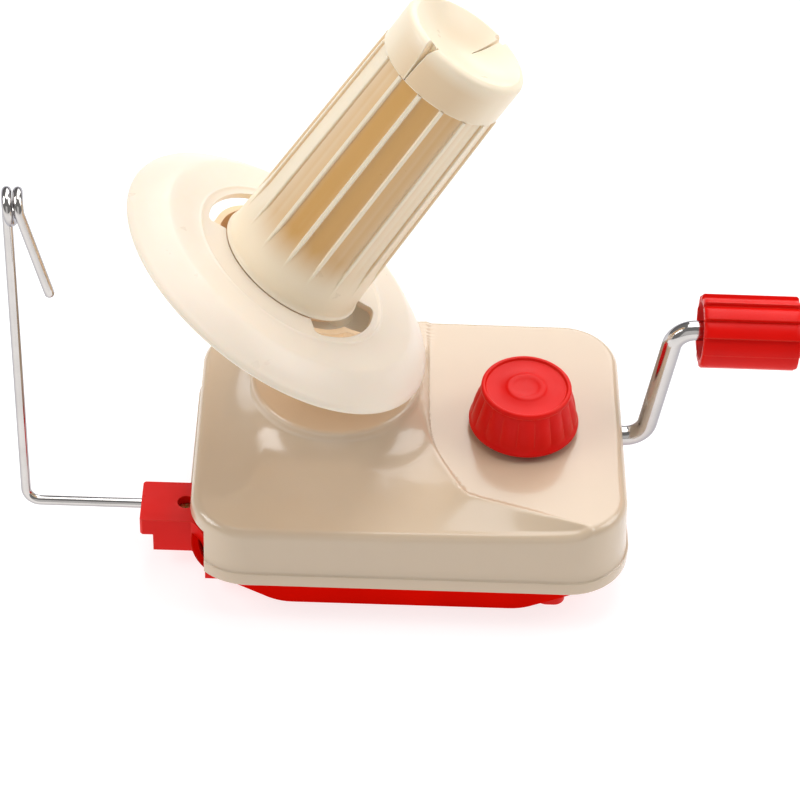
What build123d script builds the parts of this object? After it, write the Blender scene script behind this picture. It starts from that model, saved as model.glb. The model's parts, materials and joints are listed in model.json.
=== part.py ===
from build123d import *
from math import acos, atan2, cos, pi, radians, sin, tan
import os

os.makedirs("parts", exist_ok=True)

# Frame: origin at the middle of the flat underside, +X to the crank, -Y to the user, +Z up.

# ---- casing ----
CASE_L = 154.0          # over the rim, along X
CASE_W = 112.0          # over the rim, along Y
CASE_X = 1.5            # middle of the rim, to the right of the middle of the foot
RIGHT_X = CASE_X + CASE_L / 2
CASE_R = 22.0           # plan corner radius
RIM_Z0 = 16.0           # underside of the upper casing
RIM_Z1 = 21.5           # top of the proud rim band
RIM_PROUD = 0.8
WALL_TOP = 38.7
WALL_DRAFT = 4.0
WALL = 2.5
SHELF_Z = 44.3          # level shelf under the clamp knob
SHELF_X = 8.0           # left end of the shelf
SHELF_FLANK = 66.0      # steepness of the flank beside the shelf
NECK_R = 30.0
NECK_TOP = 57.0
RECESS_X, RECESS_Y, RECESS_TOP = -68.4, -12.0, 33.5   # front left corner cut back for the guide bracket
CREST_NEAR_X, CREST_NEAR_Y = 21.0, -36.0
CREST_FAR_X, CREST_FAR_Y = 72.0, -52.5

HULL_FOOT_L = 116.0
HULL_FOOT_W = 96.0
HULL_R = 20.0
HULL_TOP_GAP = 1.6      # the lower casing sits inside the upper one by this much
FLOOR = 3.0

# ---- head axes ----
HEAD_X, HEAD_Y = -25.0, 8.0
APEX_Z = 134.0          # where the upright axis meets the leaning cone axis
LEAN = 32.7
LEAN_DIR = 9.2

# ---- gears ----
PRESSURE = 25.0
BACKLASH = 0.16
ADDENDUM = 0.8
DEDENDUM = 1.0
ROOT_SINK = 0.35        # how far a tooth is sunk into its root cone
CRANK_TEETH, PINION_TEETH = 36, 12
DRIVE_MODULE = 1.1
DRIVE_FACE = 6.0
SUN_TEETH, CONE_TEETH = 20, 19
SPIN_SLANT = 58.0
SPIN_FACE = 6.0

# ---- crank ----
CRANK_Y, CRANK_Z = 8.0, 32.0
ROD_R = 3.5
ROD_END_X = -19.5
ROD_BEND_X = 85.0
ROD_TOP_X = 91.5
CRANK_RADIUS = 51.0
ROD_BEND_R = 8.0
GRIP_X0, GRIP_L, GRIP_R = 99.6, 33.6, 13.0
GRIP_BORE_R = 9.8
GRIP_Z = CRANK_Z + CRANK_RADIUS
GRIP_RIDGES = 12
ROD_TIP_X = 127.2
CLIP_X = 123.6
PIN_R, PIN_X = 1.0, -10.5
COLLAR_L, COLLAR_OUT_R = 5.0, 5.5
CRANK_FLANGE_X = RIGHT_X - 9.0   # inner flange of the outer crank bush seats here

# ---- post and head ----
POST_R = 2.5
RUN = 0.05              # radial running clearance
HUB_R = 10.0
HEAD_Z = 58.8           # underside of the head shoulder
HUB_LOW_Z = 52.7
SUN_SCREW_R = 1.3
DRUM_R = 21.5
DRUM_WALL = 2.2
DRUM_FLOOR_Z = 73.6
CUP_R = 22.0
CUP_DEPTH = 61.5        # cup floor underside, below the apex along the cone axis
CUP_FLOOR = 3.0
CUP_FLARE_R = 29.6
DISC_S = 29.7           # top of the disc, below the apex along the cone axis
DISC_FLAT_R = 48.1
DISC_R = 59.6
DISC_DROP = 7.8
DISC_T = 2.4
DISC_HOLE_R = 25.6
RING_R = 36.0           # fine raised ring on the disc
DISC_SCREW_R = 1.2
WINDOW_R = 33.0
WINDOW_HALF = 36.0
WINDOW_DIR = -46.0
LUG_R, LUG_RADIUS = 4.0, 32.6
LUG_ANGLES = (75.0, 180.0, 255.0)
LUG_H = 6.0

# ---- cone ----
CONE_L = 103.0
CONE_TOP_R = 22.4
COLLAR_R = 25.1
COLLAR_H = 3.0          # straight part of the foot above the disc
PANEL_FADE = 14.0       # height over which the recessed panels fade out
CONE_WALL = 2.0
CAP_H = 15.0
RIBS = 16
RIB_W = 1.1
RIB_PROUD = 1.0
STUB_R = 4.5            # foot of the bearing tube, carries the cone gear
HUB_OUT_R = 6.5
HUB_TOP = 20.0
AXLE_TOP = 26.0
AXLE_R = 3.0
DISH = 6.4              # depth of the hollow in the cap
SLIT_W, SLIT_DEPTH = 1.4, 14.4
SLIT_R = 8.0            # the two slits taper to a point at this radius
SLIT_DIR = 38.0
NOTCH_W, NOTCH_DEPTH = 4.4, 4.0

# ---- clamp ----
KNOB_X, KNOB_Y = 41.0, -1.0
KNOB_R, KNOB_TOP_R, KNOB_H = 19.0, 15.4, 16.6
KNOB_Z = 46.3
KNOB_FLUTES = 18
STEM_R = 3.0
SLEEVE_R = 5.0
JAW_L, JAW_W, JAW_T = 46.0, 60.0, 6.0
BAR_X0, BAR_X1 = 47.0, 57.5   # cross bar at the open end of the jaw
BAR_Y0, BAR_Y1 = -46.0, 44.0
JAW_X0 = 5.0
JAW_Z = 0.4
JAW_GAP = 0.6
JAW_Y = -1.0
JAW_PIN_X, JAW_PIN_R = 13.0, 2.5
JAW_PIN_TOP = 36.0
KNOB_BORE_R = 8.0
SLEEVE_Z0, SLEEVE_TOP = 13.3, 58.0
NUT_TOP = 26.0          # top of the thread inside the sleeve
STEM_TOP = 58.5
STEM_HEAD_R = 5.5

# ---- fixings ----
SCREW_SPOTS = ((-46.0, -37.0), (-46.0, 37.0), (38.0, -40.0), (38.0, 40.0))
SCREW_R, SCREW_HEAD_R, SCREW_HEAD_H = 1.5, 3.0, 2.2
SCREW_SEAT = 5.0
PILOT_R = 1.5
BOSS_R = 5.0
FOOT_SPOTS = ((-46.0, -22.0), (-46.0, 22.0), (22.0, -40.0), (22.0, 39.0))
FOOT_R, FOOT_H = 5.0, 1.6
POST_BOSS_R, POST_BOSS_TOP = 8.0, 12.0
POST_Z0, POST_TOP = 2.0, 87.0
PED_X0, PED_X1 = -8.0, -1.0
CRANK_BUSH_R = 5.0
BUSH_R = 13.0
LUG_X0, LUG_X1 = -84.0, -62.0
LUG_Y0, LUG_Y1 = -28.0, -15.0
LUG_Z0, LUG_TOP = 8.6, 12.2
GUIDE_SCREW_X, GUIDE_SCREW_Y = -76.4, -22.0
GUIDE_SEAT = LUG_TOP + 3.8
GUIDE_BORE_X = -83.2

# ---- guide ----
GUIDE_Y, GUIDE_Z = -19.5, 17.7
WIRE_R = 1.7
WIRE_X = -132.7
WIRE_LEAN = 11.5
WIRE_SPLAY = 2.4        # the upright shank ends this much further out than it starts
WIRE_UP = 118.5
EYE_R = 5.0
EYE_PITCH = 3.7
TAIL_L, TAIL_OUT = 29.5, 9.0
BLOCK_X0, BLOCK_X1 = -92.0, -68.8
BLOCK_Y0, BLOCK_Y1 = -31.5, -12.4
BLOCK_LOW, BLOCK_LIP_Z, BLOCK_TOP = 6.8, 14.4, 21.5
BLOCK_LIP = 4.5         # overhang of the top part to the left
WEB_LOW_TOP = 15.7      # clear of the underside of the rim
WEB_X, WEB_Y = -74.4, -44.5
WEB_R = 15.7


# ---------------------------------------------------------------- helpers
def cyl(r, z0, z1, x=0.0, y=0.0):
    """Upright cylinder from z0 to z1."""
    return Pos(x, y, (z0 + z1) / 2) * Cylinder(r, z1 - z0)


def tube(r_out, r_in, z0, z1, x=0.0, y=0.0):
    return cyl(r_out, z0, z1, x, y) - cyl(r_in, z0 - 1, z1 + 1, x, y)


def block(x0, x1, y0, y1, z0, z1):
    return Pos((x0 + x1) / 2, (y0 + y1) / 2, (z0 + z1) / 2) * Box(x1 - x0, y1 - y0, z1 - z0)


def xcyl(r, x0, x1, y, z):
    """Cylinder along X."""
    return Pos((x0 + x1) / 2, y, z) * Rot(0, 90, 0) * Cylinder(r, x1 - x0)


def spin(points):
    """Solid turned about Z from (radius, height) points."""
    return revolve(Plane.XZ * make_face(Polyline(points, close=True)), Axis.Z)


def prism(length, width, radius, z0, z1, taper=0.0):
    """Rounded rectangular prism on the middle of the rim."""
    outline = Pos(CASE_X, 0, z0) * RectangleRounded(length, width, radius)
    return extrude(outline, z1 - z0, taper=taper)


def lean_location():
    """Frame of the cone axis: origin at the apex, Z up the axis, X downhill."""
    return Pos(HEAD_X, HEAD_Y, APEX_Z) * Rot(0, 0, LEAN_DIR) * Rot(0, LEAN, 0)


def crank_location():
    """Frame of the crank axis: origin where it meets the head axis, X up, -Z to the crank."""
    return Pos(HEAD_X, CRANK_Y, CRANK_Z) * Rot(0, -90, 0)


def save(name, shape, colour):
    shape.label = name
    shape.color = Color(*colour)
    export_step(shape, f"parts/{name}.step")


# ---------------------------------------------------------------- bevel gears
def involute(angle):
    return tan(angle) - angle


def tooth_outline(module, teeth, cone_angle):
    """Closed outline (tangent, outward) of one tooth on the back cone."""
    pitch_r = module * teeth / 2 / cos(cone_angle)
    base_r = pitch_r * cos(radians(PRESSURE))
    half = module * pi / 4 - BACKLASH / 4
    flank = []
    steps = 7
    low = -DEDENDUM - ROOT_SINK
    for i in range(steps + 1):
        height = low + (ADDENDUM - low) * i / steps
        r = pitch_r + module * height
        inner = max(r, base_r)
        turn = half / pitch_r + involute(radians(PRESSURE)) - involute(acos(base_r / inner))
        flank.append((r * sin(turn), r * cos(turn) - pitch_r))
    return flank + [(-x, y) for x, y in reversed(flank)]


def bevel_tooth(module, teeth, cone_angle, slant, face):
    """One tooth, apex at the origin, axis along -Z, pointing along +X."""
    outline = tooth_outline(module, teeth, cone_angle)

    def section(scale):
        spot = Vector(sin(cone_angle), 0, -cos(cone_angle)) * slant * scale
        out = Vector(cos(cone_angle), 0, sin(cone_angle))
        side = Vector(0, 1, 0)
        ring = [spot + (side * x + out * y) * scale for x, y in outline]
        return Face(Wire.make_polygon(ring, close=True))

    return loft([section(1.0), section((slant - face) / slant)], ruled=True)


def bevel_blank(module, teeth, cone_angle, slant, face, back):
    """Root cone under the teeth with a flat back."""
    root = module * DEDENDUM
    big_r = slant * sin(cone_angle) - root * cos(cone_angle)
    big_z = -slant * cos(cone_angle) - root * sin(cone_angle)
    small = (slant - face) / slant
    return spin([(0, big_z * small), (big_r * small, big_z * small), (big_r, big_z),
                 (big_r, big_z - back), (0, big_z - back)])


def bevel_gear(module, teeth, cone_angle, slant, face, back, phase=0.0):
    """Bevel gear with its apex at the origin and its body on the -Z side."""
    tooth = bevel_tooth(module, teeth, cone_angle, slant, face)
    ring = [Rot(0, 0, phase + 360 / teeth * i) * tooth for i in range(teeth)]
    return bevel_blank(module, teeth, cone_angle, slant, face, back).fuse(*ring)


# ---------------------------------------------------------------- casing
def case_prism(z0, z1, shrink=0.0):
    """Drafted casing wall, its section true at the rim underside."""
    lost = RIM_PROUD + shrink
    base = prism(CASE_L - 2 * lost, CASE_W - 2 * lost, CASE_R - lost, RIM_Z0, z1, WALL_DRAFT)
    return base & block(-CASE_L, CASE_L, -CASE_W, CASE_W, z0, z1)


def swell():
    """Top surface flaring from the turret neck out to the walls."""
    r, low = NECK_R, RIM_Z0 + 1
    return Pos(HEAD_X, HEAD_Y, 0) * spin([
        (0, low), (r + 90, low), (r + 90, WALL_TOP - 0.6), (r + 50, WALL_TOP + 0.6), (r + 34, WALL_TOP + 2.4),
        (r + 20, WALL_TOP + 4.8), (r + 10, WALL_TOP + 7.6), (r + 4, WALL_TOP + 11), (r + 1, NECK_TOP - 4),
        (r, NECK_TOP - 1.5), (r - 1.5, NECK_TOP), (0, NECK_TOP)])


def strip_section(x, crest_y, crest_z):
    """Cross-section of the shelf and the sloping strip in front of it."""
    front, back = -CASE_W / 2, CASE_W / 2
    ring = [(front, RIM_Z1), (front, WALL_TOP), (crest_y, crest_z), (back - 4, crest_z), (back, WALL_TOP),
            (back, RIM_Z1)]
    return Face(Wire.make_polygon([Vector(x, y, z) for y, z in ring], close=True))


def shelf():
    """Level shelf with the diagonal crest along its front."""
    near = strip_section(CREST_NEAR_X, CREST_NEAR_Y, SHELF_Z)
    far = strip_section(CREST_FAR_X, CREST_FAR_Y, SHELF_Z)
    end = strip_section(RIGHT_X, CREST_FAR_Y, WALL_TOP + 1)
    start = strip_section(HEAD_X, -CASE_W / 2 + 30, WALL_TOP + 1)
    return loft([start, near], ruled=True) + loft([near, far], ruled=True) + loft([far, end], ruled=True)


def shelf_clearance():
    """Everything above the shelf, bounded by the sloping flank of the turret."""
    reach, top = CASE_L, NECK_TOP + 20
    foot = SHELF_X
    lean = (top - SHELF_Z) / tan(radians(SHELF_FLANK))
    side = Polyline([(foot, SHELF_Z), (reach, SHELF_Z), (reach, top), (foot - lean, top)], close=True)
    return Pos(0, CASE_W, 0) * extrude(Plane.XZ * make_face(side), 2 * CASE_W)


def rim_band():
    return prism(CASE_L, CASE_W, CASE_R, RIM_Z0, RIM_Z1)


def case_void():
    """Hollow inside of the upper casing."""
    low = RIM_Z0 - 1
    walls = case_prism(RIM_Z0, WALL_TOP - WALL, WALL) + prism(
        CASE_L - 2 * WALL - 2 * RIM_PROUD, CASE_W - 2 * WALL - 2 * RIM_PROUD, CASE_R - WALL, low, RIM_Z0 + 0.1)
    under_shelf = block(SHELF_X + 4, RIGHT_X - 8, CREST_NEAR_Y + 5, CASE_W / 2 - 8, RIM_Z1, SHELF_Z - WALL)
    return walls + under_shelf + cyl(NECK_R - WALL - 0.5, low, NECK_TOP - WALL, HEAD_X, HEAD_Y)


def case_bosses():
    """Screw bosses, each reaching up into the roof above it."""
    return [cyl(BOSS_R, RIM_Z0, (SHELF_Z if x > 0 else WALL_TOP) - 1, x, y) for x, y in SCREW_SPOTS]


def bracket_recess(z0, z1, wall=0.0):
    """Space for the guide bracket at the front left corner, or the same with its lining."""
    return block(-CASE_L, RECESS_X + wall, -CASE_W, RECESS_Y + wall, z0, z1)


def upper_casing():
    full = case_prism(RIM_Z0, NECK_TOP + 4)
    outer = full & (swell() + shelf() + case_prism(RIM_Z0, WALL_TOP))
    outer = outer - shelf_clearance() + rim_band()
    outer = outer + (case_prism(RIM_Z0, NECK_TOP + 4) & cyl(NECK_R - 2, RIM_Z1, NECK_TOP, HEAD_X, HEAD_Y))
    body = outer - case_void()
    body = body.fuse(*case_bosses())
    body = body.fuse(cyl(BUSH_R + 3, NECK_TOP - 4, NECK_TOP - 1, HEAD_X, HEAD_Y))
    body = body.fuse(cyl(KNOB_BORE_R + 3, SHELF_Z - 7, SHELF_Z - 1, KNOB_X, KNOB_Y))
    pad = block(CRANK_FLANGE_X, RIGHT_X - 2.4, CRANK_Y - 8, CRANK_Y + 8, RIM_Z0 + 4, WALL_TOP - 1)
    lining = bracket_recess(RIM_Z0, WALL_TOP - 2.0, 2.0) & case_prism(RIM_Z0, WALL_TOP - 2.0)
    body = body.fuse(pad, lining)
    cuts = [cyl(BUSH_R, NECK_TOP - 6, NECK_TOP + 1, HEAD_X, HEAD_Y),
            cyl(KNOB_BORE_R, SHELF_Z - 9, SHELF_Z + 2, KNOB_X, KNOB_Y),
            xcyl(CRANK_BUSH_R, RIGHT_X - 12, RIGHT_X + 2, CRANK_Y, CRANK_Z),
            bracket_recess(RIM_Z0 - 1, RECESS_TOP)]
    cuts += [cyl(PILOT_R, RIM_Z0 - 1, RIM_Z0 + 14, x, y) for x, y in SCREW_SPOTS]
    return body.cut(*cuts)


def hull(shrink, z0, z1):
    """Lower casing outline drawn in towards the foot."""
    top_l, top_w = CASE_L - 2 * HULL_TOP_GAP, CASE_W - 2 * HULL_TOP_GAP

    def section(z):
        t = z / RIM_Z0
        length = HULL_FOOT_L + (top_l - HULL_FOOT_L) * t - 2 * shrink
        width = HULL_FOOT_W + (top_w - HULL_FOOT_W) * t - 2 * shrink
        return Pos(CASE_X * t, 0, z) * RectangleRounded(length, width, HULL_R - shrink)

    return loft([section(z0).face(), section(z1).face()], ruled=True)


def jaw_plan(gap):
    """Plan outline of the sliding jaw, or of its recess when gap is added."""
    return (JAW_X0 - gap, JAW_X0 + JAW_L + gap, JAW_Y - JAW_W / 2 - gap, JAW_Y + JAW_W / 2 + gap)


def guide_lug():
    """Ledge at the left end that carries the yarn guide."""
    return block(LUG_X0, LUG_X1, LUG_Y0, LUG_Y1, LUG_Z0, LUG_TOP)


def lower_casing():
    body = hull(0.0, 0.0, RIM_Z0) - hull(WALL, FLOOR, RIM_Z0 + 0.01)
    x0, x1, y0, y1 = jaw_plan(JAW_GAP)
    recess_top = JAW_Z + JAW_T + JAW_GAP
    housing = block(x0 - WALL, CASE_L, y0 - WALL, y1 + WALL, 0.0, recess_top + WALL)
    housing = housing + block(BAR_X0 - JAW_GAP - WALL, CASE_L, -CASE_W, CASE_W, 0.0, recess_top + WALL)
    body = body.fuse(housing & hull(0.2, 0.0, RIM_Z0))
    adds = [cyl(BOSS_R, 0.0, RIM_Z0, x, y) for x, y in SCREW_SPOTS]
    adds += [cyl(POST_BOSS_R, 1.0, POST_BOSS_TOP, HEAD_X, HEAD_Y)]
    adds += [block(PED_X0, PED_X1, CRANK_Y - 9, CRANK_Y + 9, 1.0, CRANK_Z + 8)]
    adds += [cyl(SLEEVE_R + 3.0, 1.0, SLEEVE_Z0 - 0.3, KNOB_X, KNOB_Y)]
    adds += [cyl(JAW_PIN_R + 3.0, 1.0, recess_top + 8, JAW_PIN_X, JAW_Y)]
    adds += [guide_lug()]
    body = body.fuse(*adds)
    plate_slot = block(x0, CASE_L, y0, y1, -1.0, recess_top)
    bar_slot = block(BAR_X0 - JAW_GAP, CASE_L, BAR_Y0 - JAW_GAP, BAR_Y1 + JAW_GAP, -1.0, recess_top)
    cuts = [plate_slot, bar_slot, cyl(POST_R, 2.0, POST_BOSS_TOP + 1, HEAD_X, HEAD_Y),
            xcyl(CRANK_BUSH_R, PED_X0 - 1, PED_X1 + 1, CRANK_Y, CRANK_Z),
            cyl(STEM_R + 0.25, -1.0, SLEEVE_Z0, KNOB_X, KNOB_Y),
            cyl(PILOT_R, LUG_Z0 + 0.6, LUG_TOP + 1, GUIDE_SCREW_X, GUIDE_SCREW_Y),
            cyl(JAW_PIN_R + RUN, -1.0, recess_top + 12, JAW_PIN_X, JAW_Y)]
    cuts += [cyl(FOOT_R, -1.0, FOOT_H, x, y) for x, y in FOOT_SPOTS]
    for x, y in SCREW_SPOTS:
        cuts += [cyl(SCREW_R + 0.2, -1.0, RIM_Z0 + 1, x, y), cyl(SCREW_HEAD_R + 0.4, -1.0, SCREW_SEAT, x, y)]
    return body.cut(*cuts)


def cross_recess(x, y, z0, z1, arm=2.0):
    """Cross-shaped driver recess."""
    half = 0.5
    along = block(x - arm, x + arm, y - half, y + half, z0, z1)
    across = block(x - half, x + half, y - arm, y + arm, z0, z1)
    return [along, across]


def pan_screw(x, y, seat, tip):
    """Pan-head screw driven upwards, head below the seat."""
    low = seat - SCREW_HEAD_H
    body = cyl(SCREW_HEAD_R, low, seat, x, y) + cyl(SCREW_R, seat - 0.5, tip, x, y)
    return body.cut(*cross_recess(x, y, low - 0.1, low + 1.0))


def casing_screws():
    return Compound(children=[pan_screw(x, y, SCREW_SEAT, RIM_Z0 + 12) for x, y in SCREW_SPOTS])


def base_feet():
    """Thin grip pads let into the underside."""
    return Compound(children=[cyl(FOOT_R, 0.0, FOOT_H, x, y) for x, y in FOOT_SPOTS])


# ---------------------------------------------------------------- frame fittings
def turret_bush():
    """Flanged bush in the turret top."""
    z0 = NECK_TOP - 4
    return (cyl(BUSH_R, z0, NECK_TOP, HEAD_X, HEAD_Y) + cyl(BUSH_R + 2, NECK_TOP, HEAD_Z - 0.2, HEAD_X, HEAD_Y)
            - cyl(HUB_R + RUN, z0 - 1, HEAD_Z + 1, HEAD_X, HEAD_Y))


def centre_post():
    post = cyl(POST_R, POST_Z0, POST_TOP, HEAD_X, HEAD_Y)
    return post - cyl(SUN_SCREW_R, POST_TOP - 9, POST_TOP + 1, HEAD_X, HEAD_Y)


def sun_gear():
    """Fixed gear at the top of the post."""
    gear = bevel_gear(spin_module(), SUN_TEETH, sun_angle(), SPIN_SLANT, SPIN_FACE, 1.0, LEAN_DIR + 180)
    gear = Pos(HEAD_X, HEAD_Y, APEX_Z) * gear
    boss = cyl(5.0, POST_TOP - 6, POST_TOP, HEAD_X, HEAD_Y)
    return gear + boss - cyl(POST_R, 0, POST_TOP + 1, HEAD_X, HEAD_Y)


def sun_gear_screw():
    top = POST_TOP + 2.4
    shank = cyl(SUN_SCREW_R, POST_TOP - 8, POST_TOP + 0.1, HEAD_X, HEAD_Y)
    body = cyl(4.2, POST_TOP, top, HEAD_X, HEAD_Y) + shank
    return body.cut(*cross_recess(HEAD_X, HEAD_Y, top - 1.2, top + 1, 2.4))


def crank_bush(x0, x1, flange_x0, flange_x1):
    ring = xcyl(CRANK_BUSH_R, x0, x1, CRANK_Y, CRANK_Z) + xcyl(CRANK_BUSH_R + 2, flange_x0, flange_x1,
                                                               CRANK_Y, CRANK_Z)
    return ring - xcyl(ROD_R + RUN, min(x0, flange_x0) - 1, max(x1, flange_x1) + 1, CRANK_Y, CRANK_Z)


def crank_bush_outer():
    return crank_bush(CRANK_FLANGE_X, RIGHT_X - 2.6, CRANK_FLANGE_X - 1.2, CRANK_FLANGE_X)


def crank_bush_inner():
    return crank_bush(PED_X0, PED_X1, PED_X1, PED_X1 + 1.2)


def knob_bush():
    """Flanged bush that carries the knob sleeve in the shelf."""
    low = SHELF_Z - 7
    ring = cyl(KNOB_BORE_R, low, SHELF_Z, KNOB_X, KNOB_Y) + cyl(KNOB_BORE_R + 3, SHELF_Z, KNOB_Z - 0.3,
                                                                KNOB_X, KNOB_Y)
    return ring - cyl(SLEEVE_R + RUN, low - 1, KNOB_Z, KNOB_X, KNOB_Y)


def bracket_web():
    """Curved web from the block round to the corner of the lower casing."""
    y0 = BLOCK_Y0 + 2.0
    scoop = Pos(BLOCK_X1 - WEB_R + 0.3, WEB_Y + 1, 0) * Circle(WEB_R)

    def slab(right, z1):
        plan = make_face(Polyline([(WEB_X - 1, y0), (right, y0), (right, WEB_Y), (WEB_X - 1, WEB_Y)], close=True))
        return Pos(0, 0, BLOCK_LOW) * extrude(plan - scoop, z1 - BLOCK_LOW)

    return slab(BLOCK_X1, BLOCK_TOP) + slab(LUG_X1, WEB_LOW_TOP)


def guide_bracket():
    """Block at the left end that holds the yarn guide."""
    top = block(BLOCK_X0, BLOCK_X1, BLOCK_Y0, BLOCK_Y1, BLOCK_LIP_Z, BLOCK_TOP)
    top = chamfer(top.edges().filter_by(Axis.Z).group_by(Axis.X)[0], 0.8)
    step = block(BLOCK_X0 + BLOCK_LIP, BLOCK_X1, BLOCK_Y0, BLOCK_Y1, BLOCK_LOW, BLOCK_LIP_Z)
    foot = block(BLOCK_X1 - 1, LUG_X1, BLOCK_Y0, BLOCK_Y1, BLOCK_LOW, WEB_LOW_TOP)
    body = top + step + foot + bracket_web()
    body = body - hull(0.0, 0.0, RIM_Z0) - guide_lug()
    x, y = GUIDE_SCREW_X, GUIDE_SCREW_Y
    bore = xcyl(WIRE_R + RUN, BLOCK_X0 - 1, GUIDE_BORE_X, GUIDE_Y, GUIDE_Z)
    shank_hole = cyl(SCREW_R + 0.2, LUG_TOP - 1, BLOCK_TOP + 1, x, y)
    return body - bore - shank_hole - cyl(SCREW_HEAD_R, GUIDE_SEAT, BLOCK_TOP + 1, x, y)


def guide_screw():
    x, y, seat = GUIDE_SCREW_X, GUIDE_SCREW_Y, GUIDE_SEAT
    top = seat + SCREW_HEAD_H
    body = cyl(SCREW_HEAD_R - 0.3, seat, top, x, y) + cyl(SCREW_R, LUG_Z0 + 1.0, seat + 0.1, x, y)
    return body.cut(*cross_recess(x, y, top - 1, top + 1))


# ---------------------------------------------------------------- yarn guide
def eye_points(top, up, back):
    """Centre line of the pigtail eye, one and a half turns about X."""
    centre = top - back * EYE_R
    steps = 18
    ring = []
    for i in range(steps + 1):
        angle = 3 * pi * i / steps
        ring.append(centre + back * (EYE_R * cos(angle)) + up * (EYE_R * sin(angle))
                    + Vector(EYE_PITCH * 1.5 * i / steps, 0, 0))
    return ring


def guide_wire():
    """Bent wire with a pigtail eye."""
    up = Vector(0, sin(radians(WIRE_LEAN)), cos(radians(WIRE_LEAN)))
    back = Vector(0, cos(radians(WIRE_LEAN)), -sin(radians(WIRE_LEAN)))
    start = Vector(GUIDE_BORE_X - 0.5, GUIDE_Y, GUIDE_Z)
    corner = Vector(WIRE_X, GUIDE_Y, GUIDE_Z)
    top = corner + up * WIRE_UP - Vector(WIRE_SPLAY, 0, 0)
    shank = FilletPolyline([start, corner, top], radius=5.0)
    ring = eye_points(top, up, back)
    tip = ring[-1] - up * TAIL_L + Vector(TAIL_OUT, 0, 0)
    way = (tip - ring[-1]).normalized()
    coil = Spline(ring, tangents=[(top - corner).normalized(), way], tangent_scalars=[1, 1])
    path = Wire(shank.edges() + coil.edges() + Line(ring[-1], tip).edges())
    return sweep(Plane(origin=start, z_dir=(-1, 0, 0)) * Circle(WIRE_R), path=path)


# ---------------------------------------------------------------- crank
def rod_path():
    y, z = CRANK_Y, CRANK_Z
    corners = [(ROD_END_X, y, z), (ROD_BEND_X, y, z), (ROD_TOP_X, y, GRIP_Z), (ROD_TIP_X, y, GRIP_Z)]
    return FilletPolyline(corners, radius=ROD_BEND_R)


def crank_rod():
    start = Plane(origin=(ROD_END_X, CRANK_Y, CRANK_Z), z_dir=(1, 0, 0))
    rod = sweep(start * Circle(ROD_R), path=rod_path())
    return rod - cyl(PIN_R, CRANK_Z - 9, CRANK_Z + 9, PIN_X, CRANK_Y)


def crank_gear():
    """Large bevel gear pinned to the crank."""
    phase = 180 / CRANK_TEETH
    slant = drive_slant()
    gear = bevel_gear(DRIVE_MODULE, CRANK_TEETH, wheel_angle(), slant, DRIVE_FACE, 2.4, phase)
    gear = crank_location() * gear
    hub = xcyl(6.5, HEAD_X + 6.0, PED_X0 - 0.3, CRANK_Y, CRANK_Z)
    bore = xcyl(ROD_R, HEAD_X - 5, PED_X0 + 5, CRANK_Y, CRANK_Z)
    return gear + hub - bore - cyl(PIN_R, CRANK_Z - 9, CRANK_Z + 9, PIN_X, CRANK_Y)


def crank_gear_pin():
    return cyl(PIN_R, CRANK_Z - 6.4, CRANK_Z + 6.4, PIN_X, CRANK_Y)


def crank_collar():
    """Ring that keeps the crank from pulling out."""
    x1 = CRANK_FLANGE_X - 1.5
    ring = xcyl(COLLAR_OUT_R, x1 - COLLAR_L, x1, CRANK_Y, CRANK_Z)
    return ring - xcyl(ROD_R, x1 - COLLAR_L - 1, x1 + 1, CRANK_Y, CRANK_Z)


def grip_clip():
    """Push-on ring at the end of the crank."""
    ring = xcyl(COLLAR_OUT_R, CLIP_X, CLIP_X + 1.0, CRANK_Y, GRIP_Z)
    return ring - xcyl(ROD_R, CLIP_X - 1, CLIP_X + 2, CRANK_Y, GRIP_Z)


def handle_grip():
    """Ridged turning grip, hollow at both ends, with a bearing tube inside."""
    x1 = GRIP_X0 + GRIP_L
    sleeve = Cylinder(GRIP_R - 1.0, GRIP_L, align=(Align.CENTER, Align.CENTER, Align.MIN))
    ridge = Pos(GRIP_R - 1.5, 0, GRIP_L / 2) * Cylinder(1.5, GRIP_L)
    ridges = [Rot(0, 0, 360 / GRIP_RIDGES * i) * ridge for i in range(GRIP_RIDGES)]
    body = Pos(GRIP_X0, CRANK_Y, GRIP_Z) * Rot(0, 90, 0) * sleeve.fuse(*ridges)
    near = xcyl(GRIP_BORE_R, GRIP_X0 - 1, GRIP_X0 + 8, CRANK_Y, GRIP_Z)
    far = xcyl(GRIP_BORE_R, x1 - 10, x1 + 1, CRANK_Y, GRIP_Z)
    return body - near - far - xcyl(ROD_R + RUN, GRIP_X0, x1, CRANK_Y, GRIP_Z)


def grip_cap():
    """Plug that closes the outer end of the grip."""
    x1 = GRIP_X0 + GRIP_L
    return xcyl(GRIP_BORE_R, x1 - 2.5, x1 - 0.4, CRANK_Y, GRIP_Z)


# ---------------------------------------------------------------- head
def drive_slant():
    return DRIVE_MODULE * CRANK_TEETH / 2 / sin(wheel_angle())


def wheel_angle():
    """Half-angle of the large crank gear."""
    return radians(90) - pinion_angle()


def pinion_angle():
    return atan2(PINION_TEETH, CRANK_TEETH)


def cone_gear_angle():
    lean = radians(LEAN)
    return atan2(sin(lean), SUN_TEETH / CONE_TEETH + cos(lean))


def sun_angle():
    return radians(LEAN) - cone_gear_angle()


def spin_module():
    return 2 * SPIN_SLANT * sin(sun_angle()) / SUN_TEETH


def drum_outer():
    """Upright part of the carrier: shoulder, cone and drum."""
    return Pos(HEAD_X, HEAD_Y, 0) * spin([
        (0, HUB_LOW_Z), (HUB_R, HUB_LOW_Z), (HUB_R, HEAD_Z), (HUB_R + 4, HEAD_Z), (HUB_R + 4, HEAD_Z + 4),
        (DRUM_R, DRUM_FLOOR_Z), (DRUM_R, APEX_Z), (0, APEX_Z)])


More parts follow.
